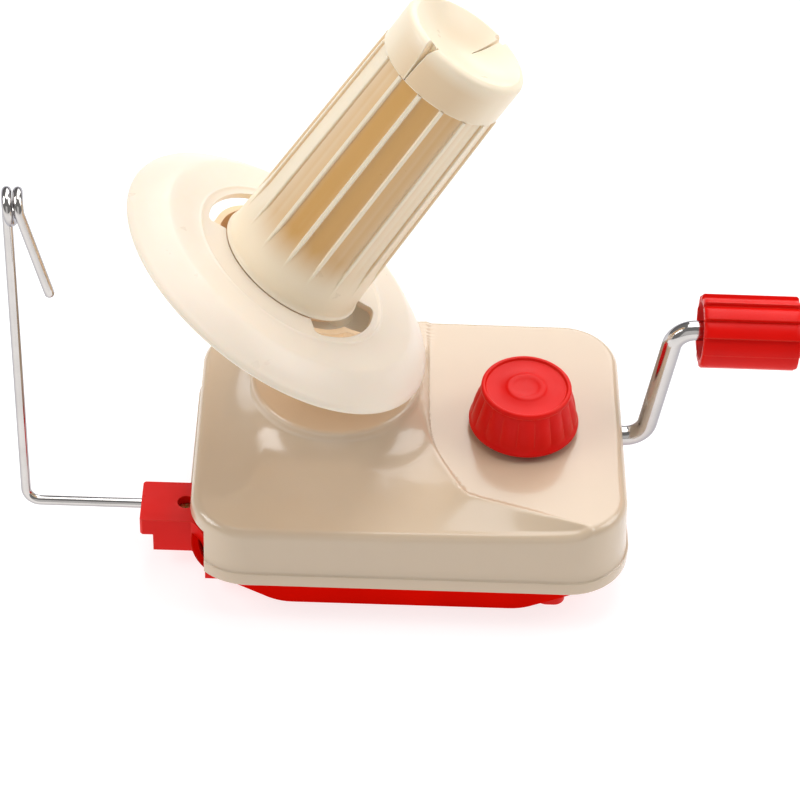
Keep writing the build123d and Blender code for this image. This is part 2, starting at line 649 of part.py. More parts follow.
def cup_outer():
    rim = -(DISC_S + DISC_T)
    return lean_location() * spin([
        (0, -CUP_DEPTH - 4.5), (6.5, -CUP_DEPTH - 4.5), (7.5, -CUP_DEPTH), (CUP_R - 2, -CUP_DEPTH),
        (CUP_R, -CUP_DEPTH + 2), (CUP_R, -46), (CUP_FLARE_R, rim - 3), (CUP_FLARE_R, rim), (0, rim)])


def head_void():
    """Inside of the cup and the drum."""
    rim = -(DISC_S + DISC_T)
    cup = lean_location() * spin([
        (0, -CUP_DEPTH + CUP_FLOOR), (CUP_R - DRUM_WALL, -CUP_DEPTH + CUP_FLOOR), (CUP_R - DRUM_WALL, -45.6),
        (CUP_FLARE_R - DRUM_WALL, rim - 2.6), (CUP_FLARE_R - DRUM_WALL, rim + 1), (0, rim + 1)])
    return cup + cyl(DRUM_R - DRUM_WALL, DRUM_FLOOR_Z + 2.6, APEX_Z, HEAD_X, HEAD_Y)


def lug_ring(r, s0, s1):
    """Cylinders at the disc fixing points, along the cone axis."""
    return [lean_location() * Rot(0, 0, a) * cyl(r, s0, s1, LUG_RADIUS, 0) for a in LUG_ANGLES]


def head_carrier():
    """Turning carrier: hub with pinion, drum round the fixed gear and leaning cup."""
    rim = -(DISC_S + DISC_T)
    under_disc = lean_location() * Pos(0, 0, rim - 100) * Cylinder(120, 200)
    body = (drum_outer() & under_disc) + cup_outer()
    body = body.fuse(*lug_ring(LUG_R, rim - LUG_H, rim))
    body = body - head_void()
    pinion = bevel_gear(DRIVE_MODULE, PINION_TEETH, pinion_angle(), drive_slant(), DRIVE_FACE, 2.0)
    body = body + Pos(HEAD_X, HEAD_Y, CRANK_Z) * Rot(180, 0, 0) * pinion
    body = body - cyl(POST_R + RUN, 0, POST_TOP, HEAD_X, HEAD_Y)
    body = body - lean_location() * cyl(AXLE_R, -CUP_DEPTH - 3.5, 0)
    return body.cut(*lug_ring(DISC_SCREW_R + 0.2, rim - LUG_H - 1, rim + 1))


def window_cutter(inner, outer, low, high):
    """Two opposite sector openings in the disc."""
    half = radians(WINDOW_HALF)
    far = outer / cos(half) + 1
    x, y = far * cos(half), far * sin(half)
    wedge = make_face(Polyline([(0, 0), (x, -y), (far, 0), (x, y)], close=True))
    ring = Circle(outer) - Circle(inner)
    piece = Pos(0, 0, low) * extrude(ring & wedge, high - low)
    return [Rot(0, 0, WINDOW_DIR + turn) * piece for turn in (0, 180)]


def winding_disc():
    """Flange under the ball, a flat ring with a sloping skirt."""
    top = -DISC_S
    low = top - DISC_DROP
    body = spin([(DISC_HOLE_R, top - DISC_T), (DISC_FLAT_R - 1, top - DISC_T), (DISC_R - 2.4, low - 0.6),
                 (DISC_R - 0.8, low - 1.0), (DISC_R, low - 0.2), (DISC_R - 0.6, low + 0.8), (DISC_FLAT_R, top),
                 (RING_R + 0.5, top), (RING_R + 0.5, top + 0.3), (RING_R - 0.5, top + 0.3), (RING_R - 0.5, top),
                 (DISC_HOLE_R, top)])
    body = body.cut(*window_cutter(DISC_HOLE_R - 1.5, WINDOW_R, top - DISC_T - 1, top + 1))
    holes = [Rot(0, 0, a) * cyl(DISC_SCREW_R, top - DISC_T - 1, top - 0.7, LUG_RADIUS, 0) for a in LUG_ANGLES]
    return lean_location() * body.cut(*holes)


def disc_screws():
    rim = -(DISC_S + DISC_T)
    heads = lug_ring(2.6, rim - LUG_H - 1.8, rim - LUG_H)
    shanks = lug_ring(DISC_SCREW_R, rim - LUG_H - 0.1, rim + 1.5)
    return Compound(children=[head + shank for head, shank in zip(heads, shanks)])


def cone_axle():
    """Fixed pin the cone turns on."""
    return lean_location() * cyl(AXLE_R, -CUP_DEPTH - 3.5, AXLE_TOP)


def cone_washer():
    floor = -CUP_DEPTH + CUP_FLOOR
    return lean_location() * tube(7.0, AXLE_R, floor, floor + 0.9)


def cone_clip():
    """Retaining ring on the cone axle."""
    return lean_location() * tube(5.6, AXLE_R, HUB_TOP + 0.2, HUB_TOP + 1.2)


# ---------------------------------------------------------------- cone
def rib_line(s):
    """Outer radius at height s along the cone axis, over the ribs."""
    foot, top = COLLAR_H - DISC_S, CONE_L - DISC_S
    return COLLAR_R + (CONE_TOP_R - COLLAR_R) * (s - foot) / (top - foot)


def cone_shell():
    foot, cap = COLLAR_H - DISC_S, CONE_L - CAP_H - DISC_S
    low, panel = -DISC_S - 3.3, foot + PANEL_FADE
    panel_r, cap_r = rib_line(panel) - RIB_PROUD, rib_line(cap) - RIB_PROUD
    base = [(STUB_R, low), (COLLAR_R - 3.5, low), (COLLAR_R - 0.9, low + 1.2), (COLLAR_R, low + 3.6)]
    side = [(COLLAR_R, foot), (rib_line(foot + 3), foot + 3), (panel_r, panel), (cap_r, cap)]
    inside = [(cap_r - CONE_WALL, cap), (panel_r - CONE_WALL, panel), (COLLAR_R - CONE_WALL - 0.4, foot)]
    return spin(base + side + inside + [(COLLAR_R - CONE_WALL - 1, low + 3.4), (STUB_R, low + 2.4)])


def cone_ribs():
    """Thin ribs standing between the panels, flush with the foot."""
    foot, cap = COLLAR_H - DISC_S + 4, CONE_L - CAP_H - DISC_S
    panel = foot + PANEL_FADE - 3

    def section(s, width):
        low, high = rib_line(s) - RIB_PROUD - 0.9, rib_line(s) - 0.02
        return Pos((low + high) / 2, 0, s) * Rectangle(high - low, width)

    rib = loft([section(foot, 0.3), section(panel, RIB_W)], ruled=True) + loft(
        [section(panel, RIB_W), section(cap, RIB_W)], ruled=True)
    return [Rot(0, 0, 360 / RIBS * (i + 0.5)) * rib for i in range(RIBS)]


def winding_cone():
    """Ribbed ball former with its bearing tube."""
    body = cone_shell().fuse(*cone_ribs())
    stub_low = -CUP_DEPTH + CUP_FLOOR + 1.0
    hub = cyl(STUB_R, stub_low, -DISC_S) + cyl(HUB_OUT_R, -46.5, HUB_TOP)
    body = body + hub - cyl(AXLE_R + RUN, stub_low - 1, HUB_TOP + 1)
    return lean_location() * body


def cone_gear():
    """Gear on the foot of the cone that rolls round the fixed gear."""
    phase = 180 / CONE_TEETH
    gear = bevel_gear(spin_module(), CONE_TEETH, cone_gear_angle(), SPIN_SLANT, SPIN_FACE, 0.8, phase)
    return lean_location() * (gear + cyl(8.0, -52, -46.6) - cyl(STUB_R, -90, 0))


def cap_shell():
    """Dished cap with a spigot that fits inside the cone."""
    top, r = CONE_L - DISC_S, CONE_TOP_R
    low = top - CAP_H
    spigot = rib_line(low) - RIB_PROUD - CONE_WALL
    outside = [(spigot - 2, low - 5), (spigot, low - 5), (spigot, low), (r, low), (r, top - 2.0)]
    outside += [(r - 0.6, top - 0.6)]
    dish = [(r - 1.8, top), (r - 3.0, top - 1.0), (0.75 * r, top - 0.5 * DISH), (0.5 * r, top - 0.85 * DISH)]
    under = [(0.5 * r, top - DISH - 1.2), (0.8 * r, top - DISH - 0.4)]
    return spin(outside + dish + [(0, top - DISH), (0, top - DISH - 2)] + under)


def cap_slit():
    """Yarn slit from the rim inwards, with a flared mouth."""
    top, far = CONE_L - DISC_S, CONE_TOP_R + 2
    plan = Polyline([(SLIT_R, 0), (far, SLIT_W / 2), (far, -SLIT_W / 2)], close=True)
    slit = Pos(0, 0, top - SLIT_DEPTH) * extrude(make_face(plan), SLIT_DEPTH + 1)
    mouth = Polyline([(-NOTCH_W / 2, top + 0.2), (NOTCH_W / 2, top + 0.2), (0, top - NOTCH_DEPTH)], close=True)
    return slit + Pos(CONE_TOP_R - 4, 0, 0) * extrude(Plane.YZ * make_face(mouth), 6)


def cone_cap():
    """Smooth end cap, its two slits opposite each other."""
    slits = [Rot(0, 0, SLIT_DIR + turn) * cap_slit() for turn in (0, 180)]
    return lean_location() * cap_shell().cut(*slits)


# ---------------------------------------------------------------- clamp
def knob_shell():
    top = KNOB_Z + KNOB_H
    return spin([(0, KNOB_Z), (KNOB_R, KNOB_Z), (KNOB_R + 0.3, KNOB_Z + 0.6), (KNOB_R - 0.2, KNOB_Z + 2.4),
                 (KNOB_TOP_R + 0.3, top - 1.8), (KNOB_TOP_R, top - 0.3), (KNOB_TOP_R - 0.6, top),
                 (KNOB_TOP_R - 1.6, top), (KNOB_TOP_R - 2.1, top - 0.7), (7.5, top - 0.7), (7.2, top - 0.3),
                 (5.2, top - 0.3), (5.0, top - 0.6), (0, top - 0.6)])


def clamp_knob():
    """Fluted knob, hollow below, with a boss for the threaded sleeve."""
    top = KNOB_Z + KNOB_H
    lean = 12.0
    flute = Pos(KNOB_R + 1.4, 0, KNOB_Z + 3) * Rot(0, -lean, 0) * cyl(2.0, 0, 14)
    body = knob_shell().cut(*[Rot(0, 0, 360 / KNOB_FLUTES * i) * flute for i in range(KNOB_FLUTES)])
    hollow = spin([(9.0, KNOB_Z - 1), (KNOB_R - 3.2, KNOB_Z - 1), (KNOB_TOP_R - 3.0, top - 4), (9.0, top - 4)])
    body = body - hollow - cyl(SLEEVE_R, KNOB_Z - 1, SLEEVE_TOP)
    return Pos(KNOB_X, KNOB_Y, 0) * (body - cyl(STEM_R + 0.3, SLEEVE_TOP - 1, STEM_TOP + 0.8))


def knob_sleeve():
    """Threaded sleeve, shown plain, that lifts and lowers the stem."""
    body = cyl(SLEEVE_R, SLEEVE_Z0, SLEEVE_TOP) - cyl(STEM_R + RUN, SLEEVE_Z0 - 1, NUT_TOP + 1)
    return Pos(KNOB_X, KNOB_Y, 0) * (body - cyl(STEM_R + 0.4, NUT_TOP, SLEEVE_TOP + 1))


def knob_clip():
    """Ring under the shelf that holds the knob down."""
    z = SHELF_Z - 7.2
    return Pos(KNOB_X, KNOB_Y, 0) * tube(7.4, SLEEVE_R, z - 0.8, z)


def clamp_stem():
    """Threaded stem, shown plain, headed into the jaw."""
    low = JAW_Z + 0.5
    head = Pos(0, 0, low) * extrude(RegularPolygon(STEM_HEAD_R, 6), 2.6)
    return Pos(KNOB_X, KNOB_Y, 0) * (head + cyl(STEM_R, low + 1, STEM_TOP))


def clamp_jaw():
    """Jaw that grips under the table edge."""
    x0, x1, y0, y1 = jaw_plan(0.0)
    plate = block(x0, x1, y0, y1, JAW_Z, JAW_Z + JAW_T)
    plate = fillet(plate.edges().filter_by(Axis.Z).group_by(Axis.X)[0], 6.0)
    bar = block(BAR_X0, BAR_X1, BAR_Y0, BAR_Y1, JAW_Z, JAW_Z + JAW_T)
    bar = fillet(bar.edges().filter_by(Axis.Z), 4.0)
    body = plate + bar
    pocket = Pos(KNOB_X, KNOB_Y, JAW_Z - 1) * extrude(RegularPolygon(STEM_HEAD_R, 6), 4.1)
    cuts = [pocket, cyl(STEM_R, 0, 10, KNOB_X, KNOB_Y), cyl(JAW_PIN_R, JAW_Z + 1, 10, JAW_PIN_X, JAW_Y)]
    cuts += jaw_pad_boxes()
    return body.cut(*cuts)


def jaw_pad_boxes():
    x0, x1, y0, y1 = jaw_plan(0.0)
    low, high = JAW_Z + JAW_T - 1.2, JAW_Z + JAW_T
    return [block(x0 + 14, x0 + 24, y0 + 5, y1 - 5, low, high)]


def jaw_pad():
    """Soft pad let into the gripping face."""
    return jaw_pad_boxes()[0]


def jaw_pin():
    """Pin that keeps the jaw square."""
    return cyl(JAW_PIN_R, JAW_Z + 1, JAW_PIN_TOP, JAW_PIN_X, JAW_Y)


# ---------------------------------------------------------------- export
CREAM = (0.90, 0.83, 0.72)
IVORY = (0.93, 0.86, 0.75)
RED = (0.80, 0.06, 0.05)
STEEL = (0.72, 0.72, 0.74)
BRASS = (0.75, 0.60, 0.30)
NYLON = (0.90, 0.90, 0.87)
RUBBER = (0.10, 0.10, 0.10)

PARTS = [
    (upper_casing, CREAM), (lower_casing, RED), (casing_screws, STEEL), (base_feet, RUBBER),
    (turret_bush, NYLON), (centre_post, STEEL), (sun_gear, NYLON), (sun_gear_screw, STEEL),
    (crank_bush_outer, BRASS), (crank_bush_inner, BRASS), (knob_bush, NYLON), (guide_bracket, RED),
    (guide_screw, STEEL), (guide_wire, STEEL), (crank_rod, STEEL), (crank_gear, NYLON),
    (crank_gear_pin, STEEL), (crank_collar, BRASS), (grip_clip, STEEL), (handle_grip, RED), (grip_cap, RED),
    (head_carrier, IVORY), (winding_disc, IVORY), (disc_screws, STEEL), (cone_axle, STEEL),
    (cone_washer, NYLON), (cone_clip, STEEL), (winding_cone, IVORY), (cone_gear, NYLON), (cone_cap, IVORY),
    (clamp_knob, RED), (knob_sleeve, BRASS), (knob_clip, STEEL), (clamp_stem, STEEL), (clamp_jaw, RED),
    (jaw_pad, RUBBER), (jaw_pin, STEEL),
]

for make, colour in PARTS:
    save(make.__name__, make(), colour)
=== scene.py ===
import json
from math import atan2, cos, exp, hypot, log, pi, radians, sin, tan

import bmesh
import bpy
from mathutils import Matrix, Vector


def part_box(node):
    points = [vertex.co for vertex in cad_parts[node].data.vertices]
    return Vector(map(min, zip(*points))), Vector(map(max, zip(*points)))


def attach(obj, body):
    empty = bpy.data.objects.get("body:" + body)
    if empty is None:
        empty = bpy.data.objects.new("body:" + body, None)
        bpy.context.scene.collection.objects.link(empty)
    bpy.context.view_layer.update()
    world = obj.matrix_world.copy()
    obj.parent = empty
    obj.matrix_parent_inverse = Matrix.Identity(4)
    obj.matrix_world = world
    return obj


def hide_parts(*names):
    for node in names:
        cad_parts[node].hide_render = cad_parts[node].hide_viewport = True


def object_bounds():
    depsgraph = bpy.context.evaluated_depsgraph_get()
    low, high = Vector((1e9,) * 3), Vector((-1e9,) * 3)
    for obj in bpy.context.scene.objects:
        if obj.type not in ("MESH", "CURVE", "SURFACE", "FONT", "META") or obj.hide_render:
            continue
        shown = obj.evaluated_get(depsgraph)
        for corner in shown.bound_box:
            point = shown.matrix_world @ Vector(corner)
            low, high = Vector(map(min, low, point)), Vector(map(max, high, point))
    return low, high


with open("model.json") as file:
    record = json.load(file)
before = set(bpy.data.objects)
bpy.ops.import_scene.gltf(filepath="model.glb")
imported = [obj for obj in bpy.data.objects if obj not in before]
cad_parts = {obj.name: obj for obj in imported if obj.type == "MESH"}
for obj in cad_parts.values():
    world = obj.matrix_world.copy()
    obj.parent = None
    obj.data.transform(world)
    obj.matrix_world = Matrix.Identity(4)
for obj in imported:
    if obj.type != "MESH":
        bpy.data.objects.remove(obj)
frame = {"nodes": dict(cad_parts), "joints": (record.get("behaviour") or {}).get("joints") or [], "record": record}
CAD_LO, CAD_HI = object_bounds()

# Shapes are in millimetres and degrees, materials and the studio in metres. Points along a flat
# stretch of a profile keep its smooth shading level.
MM = 0.001
SHARP = 32.0
JOINTS = {j["name"]: j for j in frame["joints"]}


# ---------------------------------------------------------------- node helpers
BEVEL_SAMPLES = 4
FLAT_DOT, EDGE_DOT = 0.999, 0.93     # rounded normal against true normal, on flats and on edges


def new_material(name):
    mat = bpy.data.materials.new(name)
    mat.use_nodes = True
    nt = mat.node_tree
    nt.nodes.clear()
    out = nt.nodes.new("ShaderNodeOutputMaterial")
    bsdf = nt.nodes.new("ShaderNodeBsdfPrincipled")
    nt.links.new(bsdf.outputs["BSDF"], out.inputs["Surface"])
    return mat, nt, bsdf


def object_coords(nt):
    return nt.nodes.new("ShaderNodeTexCoord").outputs["Object"]


def noise(nt, coords, scale, detail=3.0, rough=0.5, stretch=(1, 1, 1)):
    """Noise value in object space, scale in features per metre."""
    mapping = nt.nodes.new("ShaderNodeMapping")
    mapping.inputs["Scale"].default_value = stretch
    nt.links.new(coords, mapping.inputs["Vector"])
    texture = nt.nodes.new("ShaderNodeTexNoise")
    texture.inputs["Scale"].default_value = scale
    texture.inputs["Detail"].default_value = detail
    texture.inputs["Roughness"].default_value = rough
    nt.links.new(mapping.outputs["Vector"], texture.inputs["Vector"])
    return texture.outputs["Fac"]


def remap(nt, value, low, high, to_low, to_high):
    scaled = nt.nodes.new("ShaderNodeMapRange")
    scaled.inputs["From Min"].default_value = low
    scaled.inputs["From Max"].default_value = high
    scaled.inputs["To Min"].default_value = to_low
    scaled.inputs["To Max"].default_value = to_high
    nt.links.new(value, scaled.inputs["Value"])
    return scaled.outputs["Result"]


def mix_colour(nt, share, a, b):
    """Colour a turning to b with share; either may be a tuple or a node's output."""
    mix = nt.nodes.new("ShaderNodeMix")
    mix.data_type = "RGBA"
    nt.links.new(share, mix.inputs["Factor"])
    colours = [s for s in mix.inputs if s.type == "RGBA"]
    for socket, value in zip(colours, (a, b)):
        if isinstance(value, tuple):
            socket.default_value = (*value, 1)
        else:
            nt.links.new(value, socket)
    return next(s for s in mix.outputs if s.type == "RGBA")


def rounded_normal(nt, radius):
    bevel = nt.nodes.new("ShaderNodeBevel")
    bevel.samples = BEVEL_SAMPLES
    bevel.inputs["Radius"].default_value = radius
    return bevel.outputs["Normal"]


def edge_mask(nt, radius):
    """1 on convex edges within radius, 0 on flats."""
    geo = nt.nodes.new("ShaderNodeNewGeometry")
    dot = nt.nodes.new("ShaderNodeVectorMath")
    dot.operation = "DOT_PRODUCT"
    nt.links.new(rounded_normal(nt, radius), dot.inputs[0])
    nt.links.new(geo.outputs["Normal"], dot.inputs[1])
    return remap(nt, dot.outputs["Value"], FLAT_DOT, EDGE_DOT, 0.0, 1.0)


def facing_away(nt, low, high, to_low, to_high):
    """Value that runs from to_low where a surface is seen square on to to_high at its outline."""
    layer = nt.nodes.new("ShaderNodeLayerWeight")
    layer.inputs["Blend"].default_value = 0.5
    return remap(nt, layer.outputs["Facing"], low, high, to_low, to_high)


def bump_normal(nt, height, distance, strength, base=None):
    bump = nt.nodes.new("ShaderNodeBump")
    bump.inputs["Strength"].default_value = strength
    bump.inputs["Distance"].default_value = distance
    nt.links.new(height, bump.inputs["Height"])
    if base is not None:
        nt.links.new(base, bump.inputs["Normal"])
    return bump.outputs["Normal"]


# ---------------------------------------------------------------- materials
FLOW_SCALE, SMUDGE_SCALE, GRAIN_SCALE = 38, 90, 1500
GRAIN_DEPTH = 0.012 * MM
PALE_EDGE_RADIUS, PALE_EDGE_SHARE = 0.0006, 0.35
SCATTER_RADIUS, SCATTER_SCALE = (1.0, 0.75, 0.5), 0.003
COAT_ROUGH, PLASTIC_IOR = 0.08, 1.5
TARNISH_SCALE, TARNISH_DULL = 60, 0.12
POLISH_SCALE, POLISH_DEPTH = 900, 0.004 * MM
RUBBER_SCALE, RUBBER_DEPTH = 2200, 0.05 * MM
DUST_SCALE, DUST_COLOUR = 300, (0.16, 0.155, 0.15)


def painted_panel_shade(nt, body, painted_shade):
    """Painted shade: deeper colour in sunk panels and down the cap's bowl, strongest where a surface is seen
    square on; ribs and grazing parts stay pale.
    """
    panel = nt.nodes.new("ShaderNodeAttribute")
    panel.attribute_name = "panel"
    amount = nt.nodes.new("ShaderNodeMath")
    amount.operation = "MULTIPLY"
    nt.links.new(panel.outputs["Fac"], amount.inputs[0])
    nt.links.new(facing_away(nt, 0.14, 0.5, 1.0, 0.0), amount.inputs[1])
    return mix_colour(nt, amount.outputs["Value"], body, painted_shade)


def moulded_colour(nt, coords, colour, pale_edge_colour, mottled, painted_shade):
    """Colour with flow mottling, painted shade in sunk panels and paler convex edges."""
    dark = tuple(c * (1 - mottled) for c in colour)
    light = tuple(min(1.0, c * (1 + mottled * 0.6)) for c in colour)
    flow = noise(nt, coords, FLOW_SCALE, 3, 0.55, (1, 1, 0.5))
    body = mix_colour(nt, remap(nt, flow, 0.35, 0.65, 0.0, 1.0), dark, light)
    # Painted shade in the sunk panels.
    if painted_shade:
        body = painted_panel_shade(nt, body, painted_shade)
    # Paler colour on convex edges.
    pale_edges = remap(nt, edge_mask(nt, PALE_EDGE_RADIUS), 0.0, 1.0, 0.0, PALE_EDGE_SHARE)
    return mix_colour(nt, pale_edges, body, pale_edge_colour)


def plastic(name, colour, pale_edge_colour, rough, rounding, mottled=0.05, scatter=0.0, coat=0.0, shine=0.5, painted_shade=None,
            glow=None):
    """Injection-moulded plastic: flow mottling, fine grain, paler convex edges."""
    mat, nt, bsdf = new_material(name)
    coords = object_coords(nt)
    nt.links.new(moulded_colour(nt, coords, colour, pale_edge_colour, mottled, painted_shade), bsdf.inputs["Base Color"])
    smudge = noise(nt, coords, SMUDGE_SCALE, 4, 0.6)
    nt.links.new(remap(nt, smudge, 0.3, 0.7, rough * 0.8, rough * 1.3), bsdf.inputs["Roughness"])
    grain = noise(nt, coords, GRAIN_SCALE, 2, 0.5)
    base = rounded_normal(nt, rounding)
    nt.links.new(bump_normal(nt, grain, GRAIN_DEPTH, 0.5, base), bsdf.inputs["Normal"])
    bsdf.inputs["Subsurface Weight"].default_value = scatter
    bsdf.inputs["Subsurface Radius"].default_value = SCATTER_RADIUS
    bsdf.inputs["Subsurface Scale"].default_value = SCATTER_SCALE
    bsdf.inputs["Coat Weight"].default_value = coat
    bsdf.inputs["Coat Roughness"].default_value = COAT_ROUGH
    bsdf.inputs["IOR"].default_value = PLASTIC_IOR
    bsdf.inputs["Specular IOR Level"].default_value = shine
    # Glow is painted light: emission on a part that is no lamp.
    if glow:
        bsdf.inputs["Emission Color"].default_value = (*glow, 1)
        bsdf.inputs["Emission Strength"].default_value = 1.0
    return mat


def metal(name, colour, rough, streak, rounding=0.0, rim=None):
    """Metal with directional polish marks and faint tarnish; a rim colour, where given, darkens its outline as a
    painted reflection of darker surroundings.
    """
    mat, nt, bsdf = new_material(name)
    coords = object_coords(nt)
    tarnish = noise(nt, coords, TARNISH_SCALE, 4, 0.6)
    dull = tuple(c * (1 - TARNISH_DULL) for c in colour)
    body = mix_colour(nt, remap(nt, tarnish, 0.4, 0.7, 0.0, 1.0), colour, dull)
    # Painted reflection: the colour turns darker towards the outline.
    if rim:
        body = mix_colour(nt, facing_away(nt, 0.25, 0.8, 0.0, 1.0), body, rim)
    nt.links.new(body, bsdf.inputs["Base Color"])
    lines = noise(nt, coords, POLISH_SCALE, 3, 0.6, streak)
    nt.links.new(remap(nt, lines, 0.3, 0.7, rough * 0.7, rough * 1.4), bsdf.inputs["Roughness"])
    base = rounded_normal(nt, rounding) if rounding else None
    nt.links.new(bump_normal(nt, lines, POLISH_DEPTH, 0.6, base), bsdf.inputs["Normal"])
    bsdf.inputs["Metallic"].default_value = 1.0
    return mat


def rubber(name, colour):
    """Matt rubber with a little dust in its pores."""
    mat, nt, bsdf = new_material(name)
    coords = object_coords(nt)
    dust = remap(nt, noise(nt, coords, DUST_SCALE, 5, 0.7), 0.45, 0.75, 0.0, 0.5)
    nt.links.new(mix_colour(nt, dust, colour, DUST_COLOUR), bsdf.inputs["Base Color"])
    bsdf.inputs["Roughness"].default_value = 0.85
    pores = noise(nt, coords, RUBBER_SCALE, 3, 0.6)
    nt.links.new(bump_normal(nt, pores, RUBBER_DEPTH, 0.8), bsdf.inputs["Normal"])
    return mat


MATERIALS = {
    # ivory_casing is darkened to about two thirds of the head's ivory: painted shade from the disc and turret
    # above it, with part of it a darker plastic.
    "ivory_casing": plastic("ivory_casing", (0.66, 0.52, 0.375), pale_edge_colour=(0.80, 0.70, 0.56), rough=0.18,
                            rounding=0.0005, mottled=0.015, scatter=0.15, coat=0.4),
    "ivory_head": plastic("ivory_head", (0.87, 0.765, 0.64), pale_edge_colour=(0.93, 0.86, 0.76), rough=0.34,
                          rounding=0.0004, mottled=0.012, scatter=0.3),
    "red_plastic": plastic("red_plastic", (0.80, 0.004, 0.001), pale_edge_colour=(0.92, 0.09, 0.05), rough=0.34,
                           rounding=0.0003, mottled=0.06, shine=0.16),
    # chrome_wire's dark outline colour is a painted reflection of darker surroundings.
    "chrome_wire": metal("chrome_wire", (0.66, 0.63, 0.61), 0.10, (1, 1, 0.1), rim=(0.22, 0.21, 0.25)),
    "steel": metal("steel", (0.56, 0.56, 0.58), 0.32, (1, 1, 0.15), rounding=0.0003),
    "brass": metal("brass", (0.70, 0.50, 0.22), 0.30, (1, 1, 0.15), rounding=0.0003),
    # nylon's faint glow is painted light.
    "nylon": plastic("nylon", (0.80, 0.78, 0.70), pale_edge_colour=(0.88, 0.87, 0.82), rough=0.45, rounding=0.0003,
                     scatter=0.3, glow=(0.10, 0.09, 0.07)),
    "rubber": rubber("rubber", (0.03, 0.03, 0.03)),
}
# The cone's copy of the head's ivory, with a tan painted shade laid into the sunk rib panels and the cap's bowl.
CONE_PLASTIC = plastic("ivory_cone", (0.93, 0.80, 0.61), pale_edge_colour=(0.97, 0.90, 0.76), rough=0.34,
                       rounding=0.0003, mottled=0.012, scatter=0.15, painted_shade=(0.69, 0.39, 0.125))
# Darker, shineless copy of the red plastic for the lower casing: the darker colour is painted shade.
RED_MATT_SHADED = plastic("red_matt_painted_shade", (0.66, 0.004, 0.001), pale_edge_colour=(0.80, 0.05, 0.03), rough=0.5, rounding=0.0003,
                   mottled=0.06, shine=0.0)
# The head carrier, seen through the disc's windows, glows with painted light.
CUP_PLASTIC = plastic("ivory_cup", (0.90, 0.70, 0.46), pale_edge_colour=(0.94, 0.87, 0.76), rough=0.36,
                      rounding=0.0004, mottled=0.015, glow=(0.10, 0.045, 0.016))


def paint(obj, material):
    obj.data.materials.clear()
    obj.data.materials.append(material)


def paint_cad_nodes():
    slot_of = {s["node"]: s["material_slot"] for s in frame["record"]["subparts"]}
    for node_name, node in frame["nodes"].items():
        paint(node, MATERIALS[slot_of[node_name]])
    paint(frame["nodes"]["head_carrier"], CUP_PLASTIC)
    # Lower casing in the darker red, a painted shade.
    paint(frame["nodes"]["lower_casing"], RED_MATT_SHADED)


# ---------------------------------------------------------------- mesh helpers
def smooth_shaded(mesh, sharp):
    mesh.polygons.foreach_set("use_smooth", [True] * len(mesh.polygons))
    mesh.set_sharp_from_angle(angle=radians(sharp))


def fix_normals(obj):
    bm = bmesh.new()
    bm.from_mesh(obj.data)
    bmesh.ops.recalc_face_normals(bm, faces=bm.faces)
    bm.to_mesh(obj.data)
    bm.free()


def mesh_object(name, verts, faces, place):
    """Closed mesh from millimetre points, set in place by a matrix."""
    mesh = bpy.data.meshes.new(name)
    mesh.from_pydata([Vector(v) * MM for v in verts], [], faces)
    mesh.transform(place)
    mesh.validate()
    obj = bpy.data.objects.new(name, mesh)
    bpy.context.scene.collection.objects.link(obj)
    fix_normals(obj)
    return obj


def make_piece(name, body, slot_name, node, verts, faces, place=Matrix(), sharp=SHARP):
    """Visible piece that stands for a CAD node and rides on its body."""
    obj = mesh_object(name, verts, faces, place)
    smooth_shaded(obj.data, sharp)
    paint(obj, MATERIALS[slot_name])
    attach(obj, body)
    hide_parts(node)
    return obj


def mark_painted_shade(obj, values):
    """How far each point sits sunk below the ribs or down the cap's bowl, from 0 to 1, which sets the painted
    shade there.
    """
    panel = obj.data.attributes.new("panel", "FLOAT", "POINT")
    panel.data.foreach_set("value", values)


def subtract(obj, cutters):
    """Boolean cut, applied to the mesh; the cutters are used up."""
    for cutter in cutters:
        mod = obj.modifiers.new("cut", "BOOLEAN")
        mod.operation = "DIFFERENCE"
        mod.solver = "EXACT"
        mod.object = cutter
    bpy.context.view_layer.update()
    deps = bpy.context.evaluated_depsgraph_get()
    mesh = bpy.data.meshes.new_from_object(obj.evaluated_get(deps))
    obj.modifiers.clear()
    obj.data = mesh
    for cutter in cutters:
        bpy.data.objects.remove(cutter)
    smooth_shaded(mesh, SHARP)


def prism(ring, z0, z1):
    """Points and faces of an upright prism on a ring of (x, y) points."""
    n = len(ring)
    verts = [(x, y, z) for z in (z0, z1) for x, y in ring]
    faces = [tuple(range(n - 1, -1, -1)), tuple(range(n, 2 * n))]
    faces += [(i, (i + 1) % n, n + (i + 1) % n, n + i) for i in range(n)]
    return verts, faces


def prism_cutter(ring, z0, z1, place=Matrix()):
    return mesh_object("cutter", *prism(ring, z0, z1), place)


def grid_faces(rows, cols, closed=False):
    """Quads over rows of points, each row a ring; closed joins the last row to the first."""
    faces = []
    for i in range(rows if closed else rows - 1):
        for j in range(cols):
            i2, j2 = (i + 1) % rows, (j + 1) % cols
            faces.append((i * cols + j, i * cols + j2, i2 * cols + j2, i2 * cols + j))
    return faces


def turned(profile, angles, radius_at=None):
    """Closed loop of (radius, height) points swept round Z; radius_at(index, angle) may alter the radius."""
    verts = []
    for i, (r, z) in enumerate(profile):
        for a in angles:
            rr = radius_at(i, a) if radius_at else r
            verts.append((rr * cos(a), rr * sin(a), z))
    return verts, grid_faces(len(profile), len(angles), closed=True)


def even_angles(count):
    return [2 * pi * i / count for i in range(count)]


def polar(r, degrees):
    return (r * cos(radians(degrees)), r * sin(radians(degrees)))


def arc(cx, cz, r, start, end, steps):
    """Profile points on an arc, angles in degrees."""
    offsets = [polar(r, start + (end - start) * i / steps) for i in range(steps + 1)]
    return [(cx + dx, cz + dz) for dx, dz in offsets]


